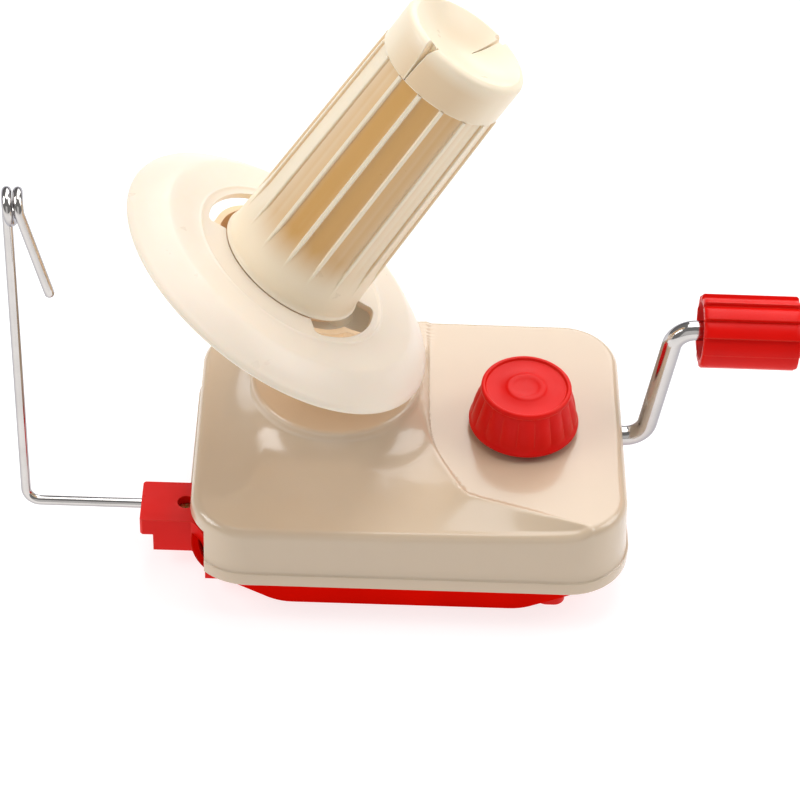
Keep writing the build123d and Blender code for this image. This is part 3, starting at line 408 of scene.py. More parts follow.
DOME_ANGLES = (35, 55, 75)
DOME_SET_IN = 0.25           # centre of the dome, back from the path's end, as a share of the radius


def tube(points, radius, sides):
    """Closed tube with domed ends along a smooth point list."""
    tangents = []
    for i in range(len(points)):
        before, after = points[max(i - 1, 0)], points[min(i + 1, len(points) - 1)]
        tangents.append((after - before).normalized())
    normal = tangents[0].orthogonal().normalized()
    rings = []
    for p, t in zip(points, tangents):
        normal = (normal - t * normal.dot(t)).normalized()
        rings.append((p, t, normal, 1.0))
    dome = [(radius * (DOME_SET_IN - cos(radians(a))), sin(radians(a))) for a in DOME_ANGLES]
    p, t, n, _ = rings[0]
    q, u, m, _ = rings[-1]
    start = [(p + t * along, t, n, share) for along, share in dome]
    end = [(q - u * along, u, m, share) for along, share in reversed(dome)]
    rings = start + rings[1:-1] + end
    verts = []
    for p, t, n, share in rings:
        across = t.cross(n)
        verts += [p + (n * cos(a) + across * sin(a)) * radius * share for a in even_angles(sides)]
    caps = [tuple(range(sides)), tuple(range(len(verts) - sides, len(verts)))]
    return verts, grid_faces(len(rings), sides) + caps


def rounded_path(corners, radius, steps, spacing=3.0):
    """Points along straight runs joined by arcs of the given radius."""
    pts = [Vector(c) for c in corners]
    bends = [pts[0]]
    for a, b, c in zip(pts, pts[1:], pts[2:]):
        u, v = (a - b).normalized(), (c - b).normalized()
        half = u.angle(v) / 2
        cut = radius / tan(half)
        centre = b + (u + v).normalized() * (radius / sin(half))
        start, end = b + u * cut - centre, b + v * cut - centre
        turn = start.angle(end)
        axis = start.cross(end).normalized()
        bends += [centre + Matrix.Rotation(turn * k / steps, 3, axis) @ start for k in range(steps + 1)]
    bends.append(pts[-1])
    dense = [bends[0]]
    for p, q in zip(bends, bends[1:]):
        n = max(1, int((q - p).length / spacing))
        dense += [p.lerp(q, k / n) for k in range(1, n + 1)]
    return dense


def smoothstep(t):
    t = min(max(t, 0.0), 1.0)
    return t * t * (3 - 2 * t)


def soft_max(a, b, blend):
    top = max(a, b)
    return top + blend * log(exp((a - top) / blend) + exp((b - top) / blend))


def soft_min(a, b, blend):
    return -soft_max(-a, -b, blend)


# ---------------------------------------------------------------- head axis
HEAD = Vector(JOINTS["head_turn"]["pos_m"]) / MM
APEX = Vector(JOINTS["cone_spin"]["pos_m"]) / MM
CONE_AXIS = Vector(JOINTS["cone_spin"]["axis"]).normalized()


def leaning_place():
    """Matrix with its origin at the apex, Z up the cone's axis and X downhill."""
    upright = Vector((0, 0, 1))
    lean = CONE_AXIS.angle(upright)
    downhill = (CONE_AXIS * cos(lean) - upright) / sin(lean)
    matrix = Matrix((downhill, CONE_AXIS.cross(downhill), CONE_AXIS)).transposed().to_4x4()
    matrix.translation = APEX * MM
    return matrix


# Heights of the disc, cone and cap run up the cone's axis from the apex.
LEANING = leaning_place()


# ---------------------------------------------------------------- winding disc
DISC_TOP, DISC_T = -29.7, 2.4
DISC_FLAT_R, DISC_OUT_R, DISC_DROP = 48.1, 59.6, 7.8
DISC_SIDES = 256
DISC_HOLE_R, SEAT_R, SEAT_SUNK = 25.6, 34.5, 0.2
RING_R = 36.0
SKIRT_BULGE, SKIRT_STEPS = 0.35, 8
WINDOW_R, WINDOW_IN_R = 33.0, 20.0
WINDOW_DIR, WINDOW_HALF, WINDOW_CORNER = -46.0, 36.0, 4.0


def disc_skirt(low):
    """Slightly bulged slope from the rounded rim up to the flat middle."""
    slope = atan2(DISC_DROP, DISC_OUT_R - DISC_FLAT_R)
    r0, r1 = DISC_OUT_R - 0.6, DISC_FLAT_R + 1.2
    points = []
    for k in range(1, SKIRT_STEPS):
        t = k / SKIRT_STEPS
        bulge = SKIRT_BULGE * sin(pi * t)
        points.append((r0 + (r1 - r0) * t + bulge * sin(slope),
                       low + 0.6 + (DISC_DROP - 1.1) * t + bulge * cos(slope)))
    return points


def disc_profile():
    """Flat middle with a raised ring and a sunk seat for the cone, then the skirt and its rim."""
    top, low, under = DISC_TOP, DISC_TOP - DISC_DROP, DISC_TOP - DISC_T
    seat = top - SEAT_SUNK
    below = [(DISC_HOLE_R + 0.3, under), (30.0, under), (40.0, under), (DISC_FLAT_R - 1.0, under),
             (DISC_OUT_R - 2.6, low - 0.8), (DISC_OUT_R - 1.8, low - 1.1)]
    rim = arc(DISC_OUT_R - 1.0, low - 0.1, 1.0, -90, 35, 6)
    flat = [(DISC_FLAT_R + 0.5, top - 0.16), (DISC_FLAT_R - 0.5, top - 0.02), (DISC_FLAT_R - 2.0, top),
            (44.0, top), (40.0, top)]
    ring = [(RING_R + 0.9, top), (RING_R + 0.5, top + 0.08), (RING_R + 0.25, top + 0.26),
            (RING_R - 0.05, top + 0.3), (RING_R - 0.3, top + 0.22), (RING_R - 0.55, top + 0.02),
            (RING_R - 0.9, top - 0.15)]
    sunk = [(SEAT_R, seat), (30.0, seat), (DISC_HOLE_R + 0.8, seat), (DISC_HOLE_R + 0.25, top - 0.35),
            (DISC_HOLE_R, top - 0.7), (DISC_HOLE_R, under + 0.4)]
    return below + rim + disc_skirt(low) + flat + ring + sunk


def window_outline(middle):
    """Curved window round the cone's foot, with eased outer corners."""
    outer = [polar(WINDOW_R, middle + (WINDOW_HALF - WINDOW_CORNER) * k / 12) for k in range(-12, 13)]
    side = [(WINDOW_R - 0.45, WINDOW_HALF - 1.2), (WINDOW_R - 1.4, WINDOW_HALF), (WINDOW_IN_R, WINDOW_HALF)]
    after = [polar(r, middle + turn) for r, turn in side]
    before = [polar(r, middle - turn) for r, turn in reversed(side)]
    return outer + after + before


def winding_disc():
    verts, faces = turned(disc_profile(), even_angles(DISC_SIDES))
    obj = make_piece("disc_flange", "head", "ivory_head", "winding_disc", verts, faces, LEANING)
    middles = (WINDOW_DIR, WINDOW_DIR + 180)
    low, high = DISC_TOP - DISC_T - 3, DISC_TOP + 2
    subtract(obj, [prism_cutter(window_outline(middle), low, high, LEANING) for middle in middles])


# ---------------------------------------------------------------- cone
RIBS, RIB_DEPTH = 16, 1.05
RIB_PITCH = 2 * pi / RIBS
RIB_TIP_HALF, RIB_GROWTH, RIB_FLANK = 0.12, 0.43, 0.22
CONE_FOOT, CONE_TOP = -26.7, 73.3
FOOT_R, TIP_R = 25.1, 22.4
CAP_LOW = 58.3
PLAIN_FOOT, RIB_GROW_L, PANEL_FADE_L = 5.0, 14.0, 17.0
PANEL_STEPS = 64
FLOOR_LOW, FOOT_ROUND = DISC_TOP - 3.3, 3.2
BORE_R, SLEEVE_R, TUBE_R = 3.05, 4.5, 6.5
SLEEVE_LOW, TUBE_LOW, TUBE_TOP = -57.5, -46.5, 20.0
CONE_SHARP = 38.0
FLANK_R = 21.5                  # radius where the points on the ribs' flanks are measured


def rib_line(s):
    """Radius over the ribs at a height."""
    return FOOT_R + (TIP_R - FOOT_R) * (s - CONE_FOOT) / (CONE_TOP - CONE_FOOT)


def rib_angles():
    """Angles round the cone, close together at each rib's flanks."""
    flank = [across / FLANK_R for across in (0.0, 0.34, 0.5, 0.62, 0.78, 1.0)]
    panel = [flank[-1] + (RIB_PITCH / 2 - flank[-1]) * k / 7 for k in range(1, 8)]
    offsets = sorted([-o for o in flank[1:] + panel[:-1]] + flank + panel)
    return [RIB_PITCH * (i + 0.5) + o for i in range(RIBS) for o in offsets]


def panel_depth(angle, s):
    """How far the surface sits below the rib line."""
    across = abs(angle % RIB_PITCH - RIB_PITCH / 2) * rib_line(s)
    up = s - CONE_FOOT - PLAIN_FOOT
    fade = smoothstep(up / PANEL_FADE_L)
    half = RIB_TIP_HALF + RIB_GROWTH * smoothstep(up / RIB_GROW_L)
    wall = smoothstep((across - half) / RIB_FLANK)
    hollow = 0.25 * (across / (RIB_PITCH / 2 * rib_line(s)))
    return RIB_DEPTH * fade * wall * (0.85 + hollow)


def cone_profile():
    """(radius, height, ribbed) points: bearing tube, floor, foot, ribbed side, mouth and inside."""
    inner = [(BORE_R, SLEEVE_LOW), (SLEEVE_R, SLEEVE_LOW), (SLEEVE_R, TUBE_LOW), (TUBE_R, TUBE_LOW),
             (TUBE_R, FLOOR_LOW)]
    foot = [(10.0, FLOOR_LOW), (16.0, FLOOR_LOW), (FOOT_R - 4.2, FLOOR_LOW)]
    foot += arc(FOOT_R - FOOT_ROUND, FLOOR_LOW + FOOT_ROUND, FOOT_ROUND, -80, 0, 7)
    foot += [(FOOT_R + 0.8, DISC_TOP + 0.05), (FOOT_R + 0.85, DISC_TOP + 0.2), (FOOT_R + 0.3, DISC_TOP + 0.7),
             (FOOT_R, DISC_TOP + 1.5), (FOOT_R, CONE_FOOT - 0.4)]
    rim = CAP_LOW - 0.12
    heights = [CONE_FOOT + (rim - CONE_FOOT) * k / PANEL_STEPS for k in range(PANEL_STEPS + 1)]
    mouth_r = rib_line(CAP_LOW) - RIB_DEPTH - 1.9
    back = [(mouth_r, rim), (mouth_r, CAP_LOW - 20), (rib_line(CONE_FOOT + 14) - 3.2, CONE_FOOT + 14),
            (FOOT_R - 3.4, CONE_FOOT), (FOOT_R - 4.4, FLOOR_LOW + 3.0), (TUBE_R, FLOOR_LOW + 2.6),
            (TUBE_R, TUBE_TOP), (BORE_R, TUBE_TOP)]
    side = [(rib_line(s), s, True) for s in heights]
    return [(*p, False) for p in inner + foot] + side + [(*p, False) for p in back]


def winding_cone():
    profile = cone_profile()
    angles = rib_angles()

    def radius_at(i, angle):
        r, s, ribbed = profile[i]
        return r - panel_depth(angle, s) if ribbed else r

    verts, faces = turned([(r, s) for r, s, _ in profile], angles, radius_at)
    obj = make_piece("cone_body", "cone", "ivory_head", "winding_cone", verts, faces, LEANING, CONE_SHARP)
    # Painted shade follows how far each point sits below the rib line.
    mark_painted_shade(obj, [min(panel_depth(a, s) / RIB_DEPTH, 1.0) if ribbed else 0.0
                      for _, s, ribbed in profile for a in angles])
    paint(obj, CONE_PLASTIC)


# ---------------------------------------------------------------- cone cap
CAP_LIP, BOWL_DEPTH, BOWL_POWER, BOWL_STEPS = 2.5, 6.2, 2.3, 17
CAP_SIDES, AXIS_R = 192, 0.03
BOWL_SHADE, BOWL_SHADE_L = 0.45, 6.0
SLIT_DIR, SLIT_TIP_R = 38.0, 8.0


def cap_profile():
    """Soft rounded rim round a shallow bowl, with the spigot below."""
    top, r = CONE_TOP, TIP_R
    bowl_r = r - 3.0
    spigot = rib_line(CAP_LOW) - RIB_DEPTH - 2.05
    profile = [(spigot, CAP_LOW - 5), (spigot, CAP_LOW - 0.02), (r - 0.25, CAP_LOW - 0.02),
               (r + 0.02, CAP_LOW + 0.25), (r + 0.05, CAP_LOW + 4), (r + 0.02, CAP_LOW + 9)]
    profile += arc(r - CAP_LIP, top - CAP_LIP, CAP_LIP, 0, 90, 9)
    for k in range(1, BOWL_STEPS + 1):
        rr = bowl_r * (1 - k / BOWL_STEPS)
        sunk = 0.15 + BOWL_DEPTH * (1 - (rr / bowl_r) ** BOWL_POWER)
        profile.append((max(rr, AXIS_R), top - sunk))
    return profile + [(AXIS_R, top - 9.0), (spigot * 0.6, top - 8.6), (spigot - 2.5, top - 7.4),
                      (spigot - 2.0, CAP_LOW - 4.8)]


def slit_cutters(turn):
    """Narrow slit across the bowl, and its mouth that widens up the rim."""
    top, r = CONE_TOP, TIP_R
    spin = LEANING @ Matrix.Rotation(radians(turn), 4, "Z")
    outward = Matrix(((0, 0, 1, 0), (1, 0, 0, 0), (0, 1, 0, 0), (0, 0, 0, 1)))
    slit = [(SLIT_TIP_R, 0.12), (r - 3, 0.6), (r - 3, -0.6), (SLIT_TIP_R, -0.12)]
    half = [(2.6, top + 1.0), (1.7, top - 0.8), (0.95, top - 3.0), (0.5, top - 8.0), (0.2, CAP_LOW + 0.1)]
    mouth = [(-x, z) for x, z in half] + half[::-1]
    return [prism_cutter(slit, top - 12.0, top + 2, spin),
            prism_cutter(mouth, r - 3.6, r + 3, spin @ outward)]


def cone_cap():
    """Dished cap with a tapering slit at each end of one diameter."""
    verts, faces = turned(cap_profile(), even_angles(CAP_SIDES))
    obj = make_piece("cone_cap_dished", "cone", "ivory_head", "cone_cap", verts, faces, LEANING)
    # Painted shade deepens down the bowl.
    mark_painted_shade(obj, [BOWL_SHADE * smoothstep((CONE_TOP - 1.0 - z) / BOWL_SHADE_L) for _, _, z in verts])
    subtract(obj, slit_cutters(SLIT_DIR) + slit_cutters(SLIT_DIR + 180))
    paint(obj, CONE_PLASTIC)


# ---------------------------------------------------------------- clamp knob
KNOB_LOW_R, KNOB_TOP_R = 19.0, 15.4
FLUTES, FLUTE_DEPTH = 18, 0.75
KNOB_SIDES, KNOB_STEPS = 360, 18
RIDGED_SHARP = 40.0


def knob_profile(z0, z1):
    """(radius, height, fluted share) points: foot, fluted side, rim, ringed top and inside."""
    r0, r1 = KNOB_LOW_R, KNOB_TOP_R
    foot = [(r0 - 1.0, z0 + 0.02), (r0 - 0.2, z0 + 0.1), (r0 + 0.25, z0 + 0.5), (r0 + 0.25, z0 + 1.1),
            (r0 - 0.05, z0 + 1.7)]
    side = []
    for k in range(KNOB_STEPS + 1):
        t = k / KNOB_STEPS
        r = r0 - 0.35 + (r1 + 0.45 - r0) * t + 0.5 * sin(pi * t)
        side.append((r, z0 + 2.2 + (z1 - z0 - 4.1) * t, sin(pi * min(1, t * 1.02)) ** 0.35))
    rim = [(r1 + 0.35, z1 - 1.6), (r1 + 0.4, z1 - 1.2), (r1 + 0.3, z1 - 0.4), (r1 - 0.05, z1 - 0.06),
           (r1 - 0.5, z1), (r1 - 0.95, z1 - 0.08), (r1 - 1.25, z1 - 0.5), (r1 - 1.5, z1 - 0.85)]
    top = [(r1 - 2.2, z1 - 0.95), (11.0, z1 - 0.95), (7.4, z1 - 0.92), (7.0, z1 - 0.7), (6.6, z1 - 0.5),
           (6.1, z1 - 0.45), (5.0, z1 - 0.48), (4.5, z1 - 0.62), (4.0, z1 - 0.78), (2.0, z1 - 0.8),
           (AXIS_R, z1 - 0.8)]
    inside = [(AXIS_R, z1 - 3.0), (9.0, z1 - 3.0), (r1 - 2.4, z1 - 3.6), (r0 - 2.6, z0 + 1.0), (r0 - 2.0, z0)]
    return [(*p, 0) for p in foot] + side + [(*p, 0) for p in rim + top + inside]


def clamp_knob():
    low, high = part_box("clamp_knob")
    centre = (low + high) / (2 * MM)
    profile = knob_profile(low.z / MM, high.z / MM)

    def radius_at(i, angle):
        r, _, fluted = profile[i]
        return r - FLUTE_DEPTH * fluted * (1 - abs(sin(angle * FLUTES / 2)) ** 0.8) if fluted else r

    verts, faces = turned([(r, z) for r, z, _ in profile], even_angles(KNOB_SIDES), radius_at)
    verts = [(x + centre.x, y + centre.y, z) for x, y, z in verts]
    make_piece("knob_fluted", "knob", "red_plastic", "clamp_knob", verts, faces, sharp=RIDGED_SHARP)


# ---------------------------------------------------------------- crank
ROD_R, ROD_BEND_R, ROD_SIDES = 3.5, 8.0, 28
ROD_LOW_X, ROD_TOP_X = 85.0, 91.5
RIDGES, RIDGE_DEPTH, RIDGE_RISE = 12, 1.5, 0.06
RIDGE_POWER = 1.3
GRIP_R, GRIP_BORE_R, GRIP_WEB_R = 13.0, 9.8, 3.55
GRIP_INNER_END, GRIP_OUTER_END = 8.0, 10.0      # depth of the hollow at each end


def crank_rod():
    low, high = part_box("crank_rod")
    pivot = Vector(JOINTS["crank_turn"]["pos_m"]) / MM
    grip = Vector(JOINTS["grip_spin"]["pos_m"]) / MM
    corners = [(low.x / MM, pivot.y, pivot.z), (ROD_LOW_X, pivot.y, pivot.z), (ROD_TOP_X, pivot.y, grip.z),
               (high.x / MM, pivot.y, grip.z)]
    verts, faces = tube(rounded_path(corners, ROD_BEND_R, 14), ROD_R, ROD_SIDES)
    make_piece("crank_bar", "crank", "chrome_wire", "crank_rod", verts, faces)


def grip_profile(length):
    """(radius, along, ridged) points round the wall of the hollow sleeve."""
    r, bore = GRIP_R, GRIP_BORE_R
    outside = [(r - 1.6, 0.0), (r - 0.5, 0.25), (r, 0.9)] + [(r, length * k / 12) for k in range(1, 12)]
    outside += [(r, length - 0.9), (r - 0.5, length - 0.25), (r - 1.6, length)]
    inside = [(bore + 0.3, length - 0.1), (bore, length - 0.6), (bore, length - GRIP_OUTER_END),
              (GRIP_WEB_R, length - GRIP_OUTER_END), (GRIP_WEB_R, GRIP_INNER_END), (bore, GRIP_INNER_END)]
    mouth = [(bore, 0.6, 0), (bore + 0.3, 0.1, 0)]
    return mouth + [(*p, 1) for p in outside] + [(*p, 0) for p in inside]


def leaf_height(angle):
    """Overlapping leaves: a short rise, then a long fall to the next."""
    t = (angle * RIDGES / (2 * pi)) % 1.0
    if t > RIDGE_RISE:
        return RIDGE_DEPTH * (1 - t) ** RIDGE_POWER
    return RIDGE_DEPTH * (1 - RIDGE_RISE) ** RIDGE_POWER * smoothstep(t / RIDGE_RISE)


def handle_grip():
    low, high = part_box("handle_grip")
    grip = Vector(JOINTS["grip_spin"]["pos_m"]) / MM
    profile = grip_profile((high.x - low.x) / MM)
    steps = (0.0, 0.015, 0.03, 0.045, 0.06, 0.1, 0.2, 0.32, 0.45, 0.6, 0.75, 0.88, 0.96)
    angles = [2 * pi * (i + t) / RIDGES for i in range(RIDGES) for t in steps]

    def radius_at(i, angle):
        r, _, ridged = profile[i]
        return r - ridged * leaf_height(angle)

    verts, faces = turned([(r, along) for r, along, _ in profile], angles, radius_at)
    verts = [(low.x / MM + z, grip.y + x, grip.z + y) for x, y, z in verts]
    make_piece("grip_ridged", "grip", "red_plastic", "handle_grip", verts, faces, sharp=RIDGED_SHARP)


# ---------------------------------------------------------------- yarn guide
WIRE_R, WIRE_SIDES, WIRE_BEND_R = 1.7, 20, 5.0
WIRE_LEAN = radians(11.5)
WIRE_UP, WIRE_SPLAY = 118.5, 2.4
EYE_R, EYE_TURNS, EYE_PITCH, EYE_STEPS = 5.0, 1.5, 3.7, 60
TAIL_DOWN, TAIL_ACROSS, TAIL_STEPS = 29.5, 9.0, 14


def guide_wire():
    """Leaning wire that ends in a pigtail eye of one and a half turns and a loose tail."""
    low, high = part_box("guide_wire")
    pivot = Vector(JOINTS["guide_swing"]["pos_m"]) / MM
    up = Vector((0, sin(WIRE_LEAN), cos(WIRE_LEAN)))
    back = Vector((0, cos(WIRE_LEAN), -sin(WIRE_LEAN)))
    corner = Vector((low.x / MM + WIRE_R + WIRE_SPLAY, pivot.y, pivot.z))
    top = corner + up * WIRE_UP - Vector((WIRE_SPLAY, 0, 0))
    path = rounded_path([(high.x / MM, pivot.y, pivot.z), corner, top], WIRE_BEND_R, 12)
    centre = top - back * EYE_R
    for k in range(1, EYE_STEPS + 1):
        turns = EYE_TURNS * k / EYE_STEPS
        round_eye = back * (EYE_R * cos(2 * pi * turns)) + up * (EYE_R * sin(2 * pi * turns))
        path.append(centre + round_eye + Vector((EYE_PITCH * turns, 0, 0)))
    start = path[-1]
    for k in range(1, TAIL_STEPS + 1):
        t = k / TAIL_STEPS
        path.append(start - up * (TAIL_DOWN * t) + Vector((TAIL_ACROSS * t, 0, 0)))
    verts, faces = tube(path, WIRE_R, WIRE_SIDES)
    make_piece("guide_bent_wire", "guide", "chrome_wire", "guide_wire", verts, faces)


# ---------------------------------------------------------------- upper casing
MIDDLE_X, HALF_L, HALF_W, CORNER_R = 1.5, 77.0, 56.0, 22.0
RIM_LOW, RIM_STEP, RIM_OUT = 16.0, 21.5, 0.45
DRAFT = tan(radians(4.0))
WALL_TOP, EDGE_ROUND, SKIN = 38.7, 3.4, 2.5
NECK_R, NECK_TOP, NECK_ROUND, NECK_INSET = 30.0, 57.0, 1.6, 0.45
TURRET_RINGS = (26.0, 20.0, 16.0, 13.02)     # the last is the bore of the turret bush
SHELF, FLANK_SLOPE, FLANK_BLEND = 44.3, 2.25, 0.9
SHELF_BEND, SHELF_NOSE, SHELF_TIP = (8.0, -11.0), (21.0, -36.0), (72.0, -52.0)
BEND_BLEND, NOSE_BLEND = 2.2, 1.2
FLARE_WIDE, FLARE_WIDE_L = 9.0, 30.0
FLARE_NEAR, FLARE_NEAR_L = 6.5, 6.0
FLARE_SUNK, FLARE_EDGE_L, FLARE_EDGE_POWER = 0.8, 26.0, 0.8
STRIP_RISE, STRIP_FRONT, STRIP_LEFT, STRIP_L, STRIP_BLEND = 6.3, 1.2, -70.0, 80.0, 1.0
OUTLINE_STEPS, TOP_STEPS = 60, 110
CASING_SHARP = 50.0
RECESS_X, RECESS_Y, RECESS_TOP = -68.4, -12.0, 33.5
LINING, LINING_INSET = 2.0, 2.4


def outline(inset):
    """Plan outline as (x, y, inward x, inward y) points: round each corner, then along to the next."""
    a, b, r = HALF_L - CORNER_R, HALF_W - CORNER_R, CORNER_R - inset
    corners = [(MIDDLE_X + a, b), (MIDDLE_X - a, b), (MIDDLE_X - a, -b), (MIDDLE_X + a, -b)]
    points = []
    for i, (cx, cy) in enumerate(corners):
        for k in range(OUTLINE_STEPS):
            nx, ny = polar(1.0, 90 * (i + k / OUTLINE_STEPS))
            points.append((cx + r * nx, cy + r * ny, -nx, -ny))
        next_x, next_y = corners[(i + 1) % 4]
        nx, ny = polar(1.0, 90 * (i + 1))
        for k in range(OUTLINE_STEPS):
            t = k / OUTLINE_STEPS
            points.append((cx + (next_x - cx) * t + r * nx, cy + (next_y - cy) * t + r * ny, -nx, -ny))
    return points


def edge_distance(x, y):
    """Distance in from the plan outline."""
    dx, dy = abs(x - MIDDLE_X) - (HALF_L - CORNER_R), abs(y) - (HALF_W - CORNER_R)
    if dx > 0 and dy > 0:
        return CORNER_R - hypot(dx, dy)
    return CORNER_R - max(dx, dy)


def beyond(x, y, start, end):
    """Distance to the front of the line through start and end."""
    run, rise = end[0] - start[0], end[1] - start[1]
    return ((x - start[0]) * rise - (y - start[1]) * run) / hypot(run, rise)


def shelf_distance(x, y):
    """Distance outside the level shelf, negative inside it."""
    left = SHELF_BEND[0] - x
    corner = beyond(x, y, SHELF_BEND, SHELF_NOSE)
    crest = beyond(x, y, SHELF_NOSE, SHELF_TIP)
    return soft_max(soft_max(left, corner, BEND_BLEND), crest, NOSE_BLEND)


def top_height(x, y):
    """Moulded top surface: turret flare, sloping front strip and level shelf."""
    away = max(hypot(x - HEAD.x, y - HEAD.y) - NECK_R, 0.0)
    rise = FLARE_WIDE * exp(-away / FLARE_WIDE_L) + FLARE_NEAR * exp(-away / FLARE_NEAR_L) - FLARE_SUNK
    inside = max(edge_distance(x, y) - RIM_OUT, 0.0)
    flare = WALL_TOP + rise * smoothstep(inside / FLARE_EDGE_L) ** FLARE_EDGE_POWER
    outside = max(shelf_distance(x, y), 0.0)
    front = max(y + HALF_W - STRIP_FRONT, 0.0)
    across = front / (front + outside + 0.01)
    strip = WALL_TOP + STRIP_RISE * across * smoothstep((x - STRIP_LEFT) / STRIP_L)
    return soft_min(soft_max(flare, strip, STRIP_BLEND), SHELF + FLANK_SLOPE * outside, FLANK_BLEND)


def around_head(point, r, z):
    """Point at radius r from the head's axis, in the direction of the given point."""
    d = Vector((point[0] - HEAD.x, point[1] - HEAD.y)).normalized()
    return (HEAD.x + d.x * r, HEAD.y + d.y * r, z)


def rim_rings(shift):
    """Lipped rim of the outer skin, or the plain edge of the inner one."""
    if shift:
        return [[(x, y, RIM_LOW) for x, y, _, _ in outline(shift + RIM_OUT)]]
    levels = ((0.9, RIM_LOW), (0.3, RIM_LOW + 0.1), (0.0, RIM_LOW + 0.5), (0.0, RIM_LOW + 2.7),
              (0.04, RIM_STEP - 0.6), (0.15, RIM_STEP - 0.25), (0.4, RIM_STEP - 0.05),
              (RIM_OUT + 0.2, RIM_STEP))
    return [[(x, y, z) for x, y, _, _ in outline(inset)] for inset, z in levels]


def wall_rings(shift):
    """Drafted side wall, up to where the top edge starts to round."""
    base = outline(0.0)
    lean = RIM_OUT + (WALL_TOP - RIM_LOW) * DRAFT + EDGE_ROUND
    edge = [top_height(x + nx * lean, y + ny * lean) - shift for x, y, nx, ny in base]
    rings = []
    for t in (0.5, 1.0) if shift else (0.02, 0.25, 0.5, 0.75, 1.0):
        ring = []
        for (x, y, nx, ny), z_edge in zip(base, edge):
            z = RIM_STEP + (z_edge - EDGE_ROUND - RIM_STEP) * t
            inset = RIM_OUT + (z - RIM_LOW) * DRAFT + shift
            ring.append((x + nx * inset, y + ny * inset, z))
        rings.append(ring)
    return rings


def edge_rings(wall):
    """Quarter round from the wall's top ring in towards the top."""
    normals = [(nx, ny) for _, _, nx, ny in outline(0.0)]
    rings = []
    for k in range(1, 8):
        across, rise = polar(EDGE_ROUND, 90 * k / 8)
        run = EDGE_ROUND - across
        rings.append([(x + nx * run, y + ny * run, z + rise) for (x, y, z), (nx, ny) in zip(wall, normals)])
    return rings


def top_rings(wall, shift, reach):
    """Rings over the moulded top, from the rounded edge in to the turret neck."""
    start = [(x + nx * EDGE_ROUND, y + ny * EDGE_ROUND)
             for (x, y, _), (_, _, nx, ny) in zip(wall, outline(0.0))]
    end = [around_head(p, reach, 0.0) for p in start]
    rings = []
    for k in range(TOP_STEPS + 1):
        t = (k / TOP_STEPS) ** 0.93
        plan = [(x0 + (x1 - x0) * t, y0 + (y1 - y0) * t) for (x0, y0), (x1, y1, _) in zip(start, end)]
        rings.append([(x, y, top_height(x, y) - shift) for x, y in plan])
    return rings


def neck_rings(ring, top, reach):
    """Turret neck from the moulded top: upright side, rounded lip, then flat in to the bore."""
    rings = []
    level = max(z for _, _, z in ring)
    # Each step climbs a share of the height that is left below the lip.
    for inset, share in ((0.35, 0.53), (0.4, 0.78), (NECK_INSET, 1.0)):
        level += (top - NECK_ROUND - level) * share
        rings.append([around_head(p, reach - inset, level) for p in ring])
    for k in range(1, 7):
        a = radians(90 * k / 6)
        r = reach - NECK_INSET - NECK_ROUND * (1 - cos(a))
        rings.append([around_head(p, r, top - NECK_ROUND * (1 - sin(a))) for p in ring])
    return rings + [[around_head(p, r, top) for p in ring] for r in TURRET_RINGS]


def casing_rings(shift):
    """Rings of points from the rim to the turret bore, moved inwards by shift."""
    reach = NECK_R - shift + 0.4
    walls = wall_rings(shift)
    over = top_rings(walls[-1], shift, reach)
    neck = neck_rings(over[-1], NECK_TOP - shift, reach)
    return rim_rings(shift) + walls + edge_rings(walls[-1]) + over + neck


def recess_cutter():
    """Space for the guide bracket at the front left corner."""
    box = [(-90.0, -70.0), (RECESS_X, -70.0), (RECESS_X, RECESS_Y), (-90.0, RECESS_Y)]
    return prism_cutter(box, RIM_LOW - 2, RECESS_TOP)


def upper_casing():
    rings = casing_rings(0.0) + casing_rings(SKIN)[::-1]
    verts = [p for ring in rings for p in ring]
    faces = grid_faces(len(rings), len(rings[0]), closed=True)
    obj = make_piece("casing_upper_moulding", "casing", "ivory_casing", "upper_casing", verts, faces,
                     sharp=CASING_SHARP)
    subtract(obj, [recess_cutter()])


def recess_lining():
    """Walls and roof that close the casing off behind the bracket."""
    right, back = RECESS_X + LINING, RECESS_Y + LINING
    edge = [(x, y) for x, y, _, _ in outline(LINING_INSET) if x < right and y < back]
    ring = edge + [(right, edge[-1][1]), (right, back), (edge[0][0], back)]
    verts, faces = prism(ring, RIM_LOW + 0.3, WALL_TOP - 2.0)
    obj = make_piece("casing_recess_lining", "casing", "ivory_casing", "upper_casing", verts, faces)
    subtract(obj, [recess_cutter()])


# ---------------------------------------------------------------- studio
FLOOR_HALF, FLOOR_GLOW = 30.0, 0.76
WORLD_LIGHT = 0.22
AIM = (0, 0, 0.08)
CAMERA_AZIMUTH, CAMERA_ELEVATION, CAMERA_ROLL = radians(-1.33), radians(42.97), radians(2.77)
CAMERA_DISTANCE, CAMERA_TARGET = 0.9265, Vector((-0.00254, 0.00424, 0.04997))
SENSOR, LENS = 36.0, 118.683


def floor():
    mesh = bpy.data.meshes.new("studio_floor")
    corners = [(-1, -1), (1, -1), (1, 1), (-1, 1)]
    mesh.from_pydata([(x * FLOOR_HALF, y * FLOOR_HALF, CAD_LO.z) for x, y in corners], [], [(0, 1, 2, 3)])
    obj = bpy.data.objects.new("studio_floor", mesh)
    bpy.context.scene.collection.objects.link(obj)
    mat, nt, bsdf = new_material("studio_floor")
    tone = noise(nt, object_coords(nt), 3, 2)
    nt.links.new(mix_colour(nt, tone, (0.36, 0.36, 0.36), (0.38, 0.38, 0.38)), bsdf.inputs["Base Color"])
    bsdf.inputs["Roughness"].default_value = 0.7
    bsdf.inputs["Emission Color"].default_value = (1, 1, 1, 1)
    bsdf.inputs["Emission Strength"].default_value = FLOOR_GLOW
    mesh.materials.append(mat)


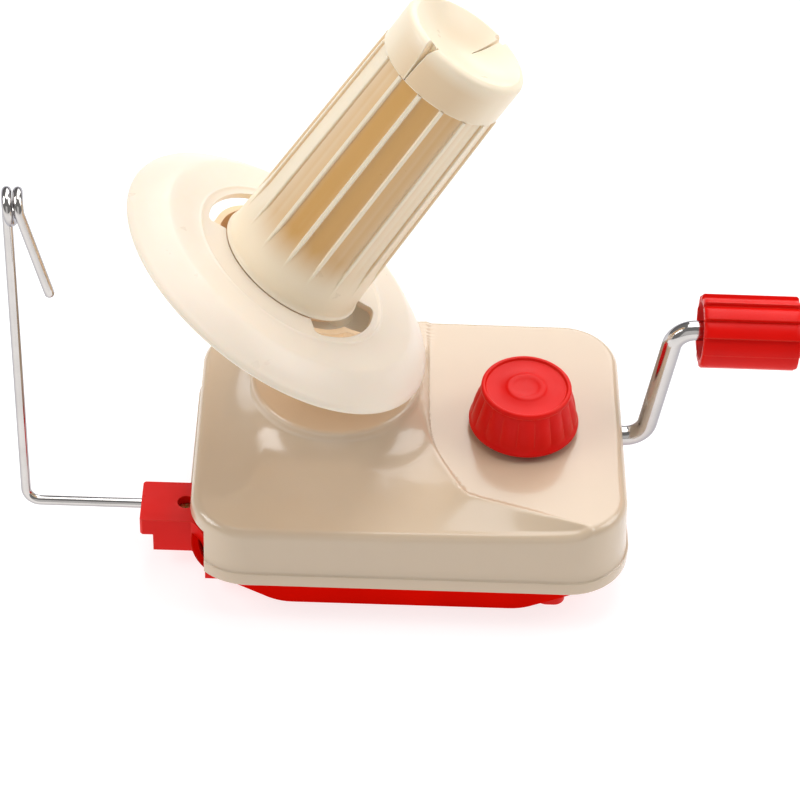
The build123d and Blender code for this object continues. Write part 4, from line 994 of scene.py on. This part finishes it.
def area_light(name, location, size, power, aim=AIM):
    data = bpy.data.lights.new(name, "AREA")
    data.energy = power
    data.size = size
    obj = bpy.data.objects.new(name, data)
    obj.location = location
    obj.rotation_mode = "QUATERNION"
    obj.rotation_quaternion = (Vector(aim) - Vector(location)).to_track_quat("-Z", "Y")
    bpy.context.scene.collection.objects.link(obj)


def studio():
    world = bpy.data.worlds.new("studio_world")
    bpy.context.scene.world = world
    world.use_nodes = True
    background = world.node_tree.nodes["Background"]
    background.inputs["Color"].default_value = (1.0, 1.0, 1.0, 1)
    background.inputs["Strength"].default_value = WORLD_LIGHT
    area_light("left_box", (-1.15, -0.1, 0.95), size=0.7, power=8)
    area_light("right_box", (1.1, 0.1, 1.0), size=0.8, power=7)
    area_light("top_box", (0.05, 0.35, 1.5), size=1.0, power=9)
    area_light("back_box", (0.35, 1.35, 1.1), size=1.2, power=13, aim=(0, 0, 0.05))
    area_light("front_fill", (-0.2, -1.6, 0.7), size=1.2, power=2)
    bpy.context.scene.view_settings.view_transform = "Standard"


def camera():
    """Camera 43 degrees above the floor, almost square on to the front, slightly rolled."""
    azimuth, elevation, roll = CAMERA_AZIMUTH, CAMERA_ELEVATION, CAMERA_ROLL
    back = Vector((sin(azimuth) * cos(elevation), -cos(azimuth) * cos(elevation), sin(elevation)))
    right = Vector((cos(azimuth), sin(azimuth), 0))
    up = back.cross(right)
    rolled_right = right * cos(roll) + up * sin(roll)
    rolled_up = up * cos(roll) - right * sin(roll)
    data = bpy.data.cameras.new("camera")
    data.sensor_width = SENSOR
    data.lens = LENS
    data.clip_start = 0.01
    data.clip_end = 100
    obj = bpy.data.objects.new("camera", data)
    matrix = Matrix((rolled_right, rolled_up, back)).transposed().to_4x4()
    matrix.translation = CAMERA_TARGET + back * CAMERA_DISTANCE
    obj.matrix_world = matrix
    bpy.context.scene.collection.objects.link(obj)
    bpy.context.scene.camera = obj


paint_cad_nodes()
winding_disc()
winding_cone()
cone_cap()
clamp_knob()
crank_rod()
handle_grip()
guide_wire()
upper_casing()
recess_lining()
floor()
studio()
camera()
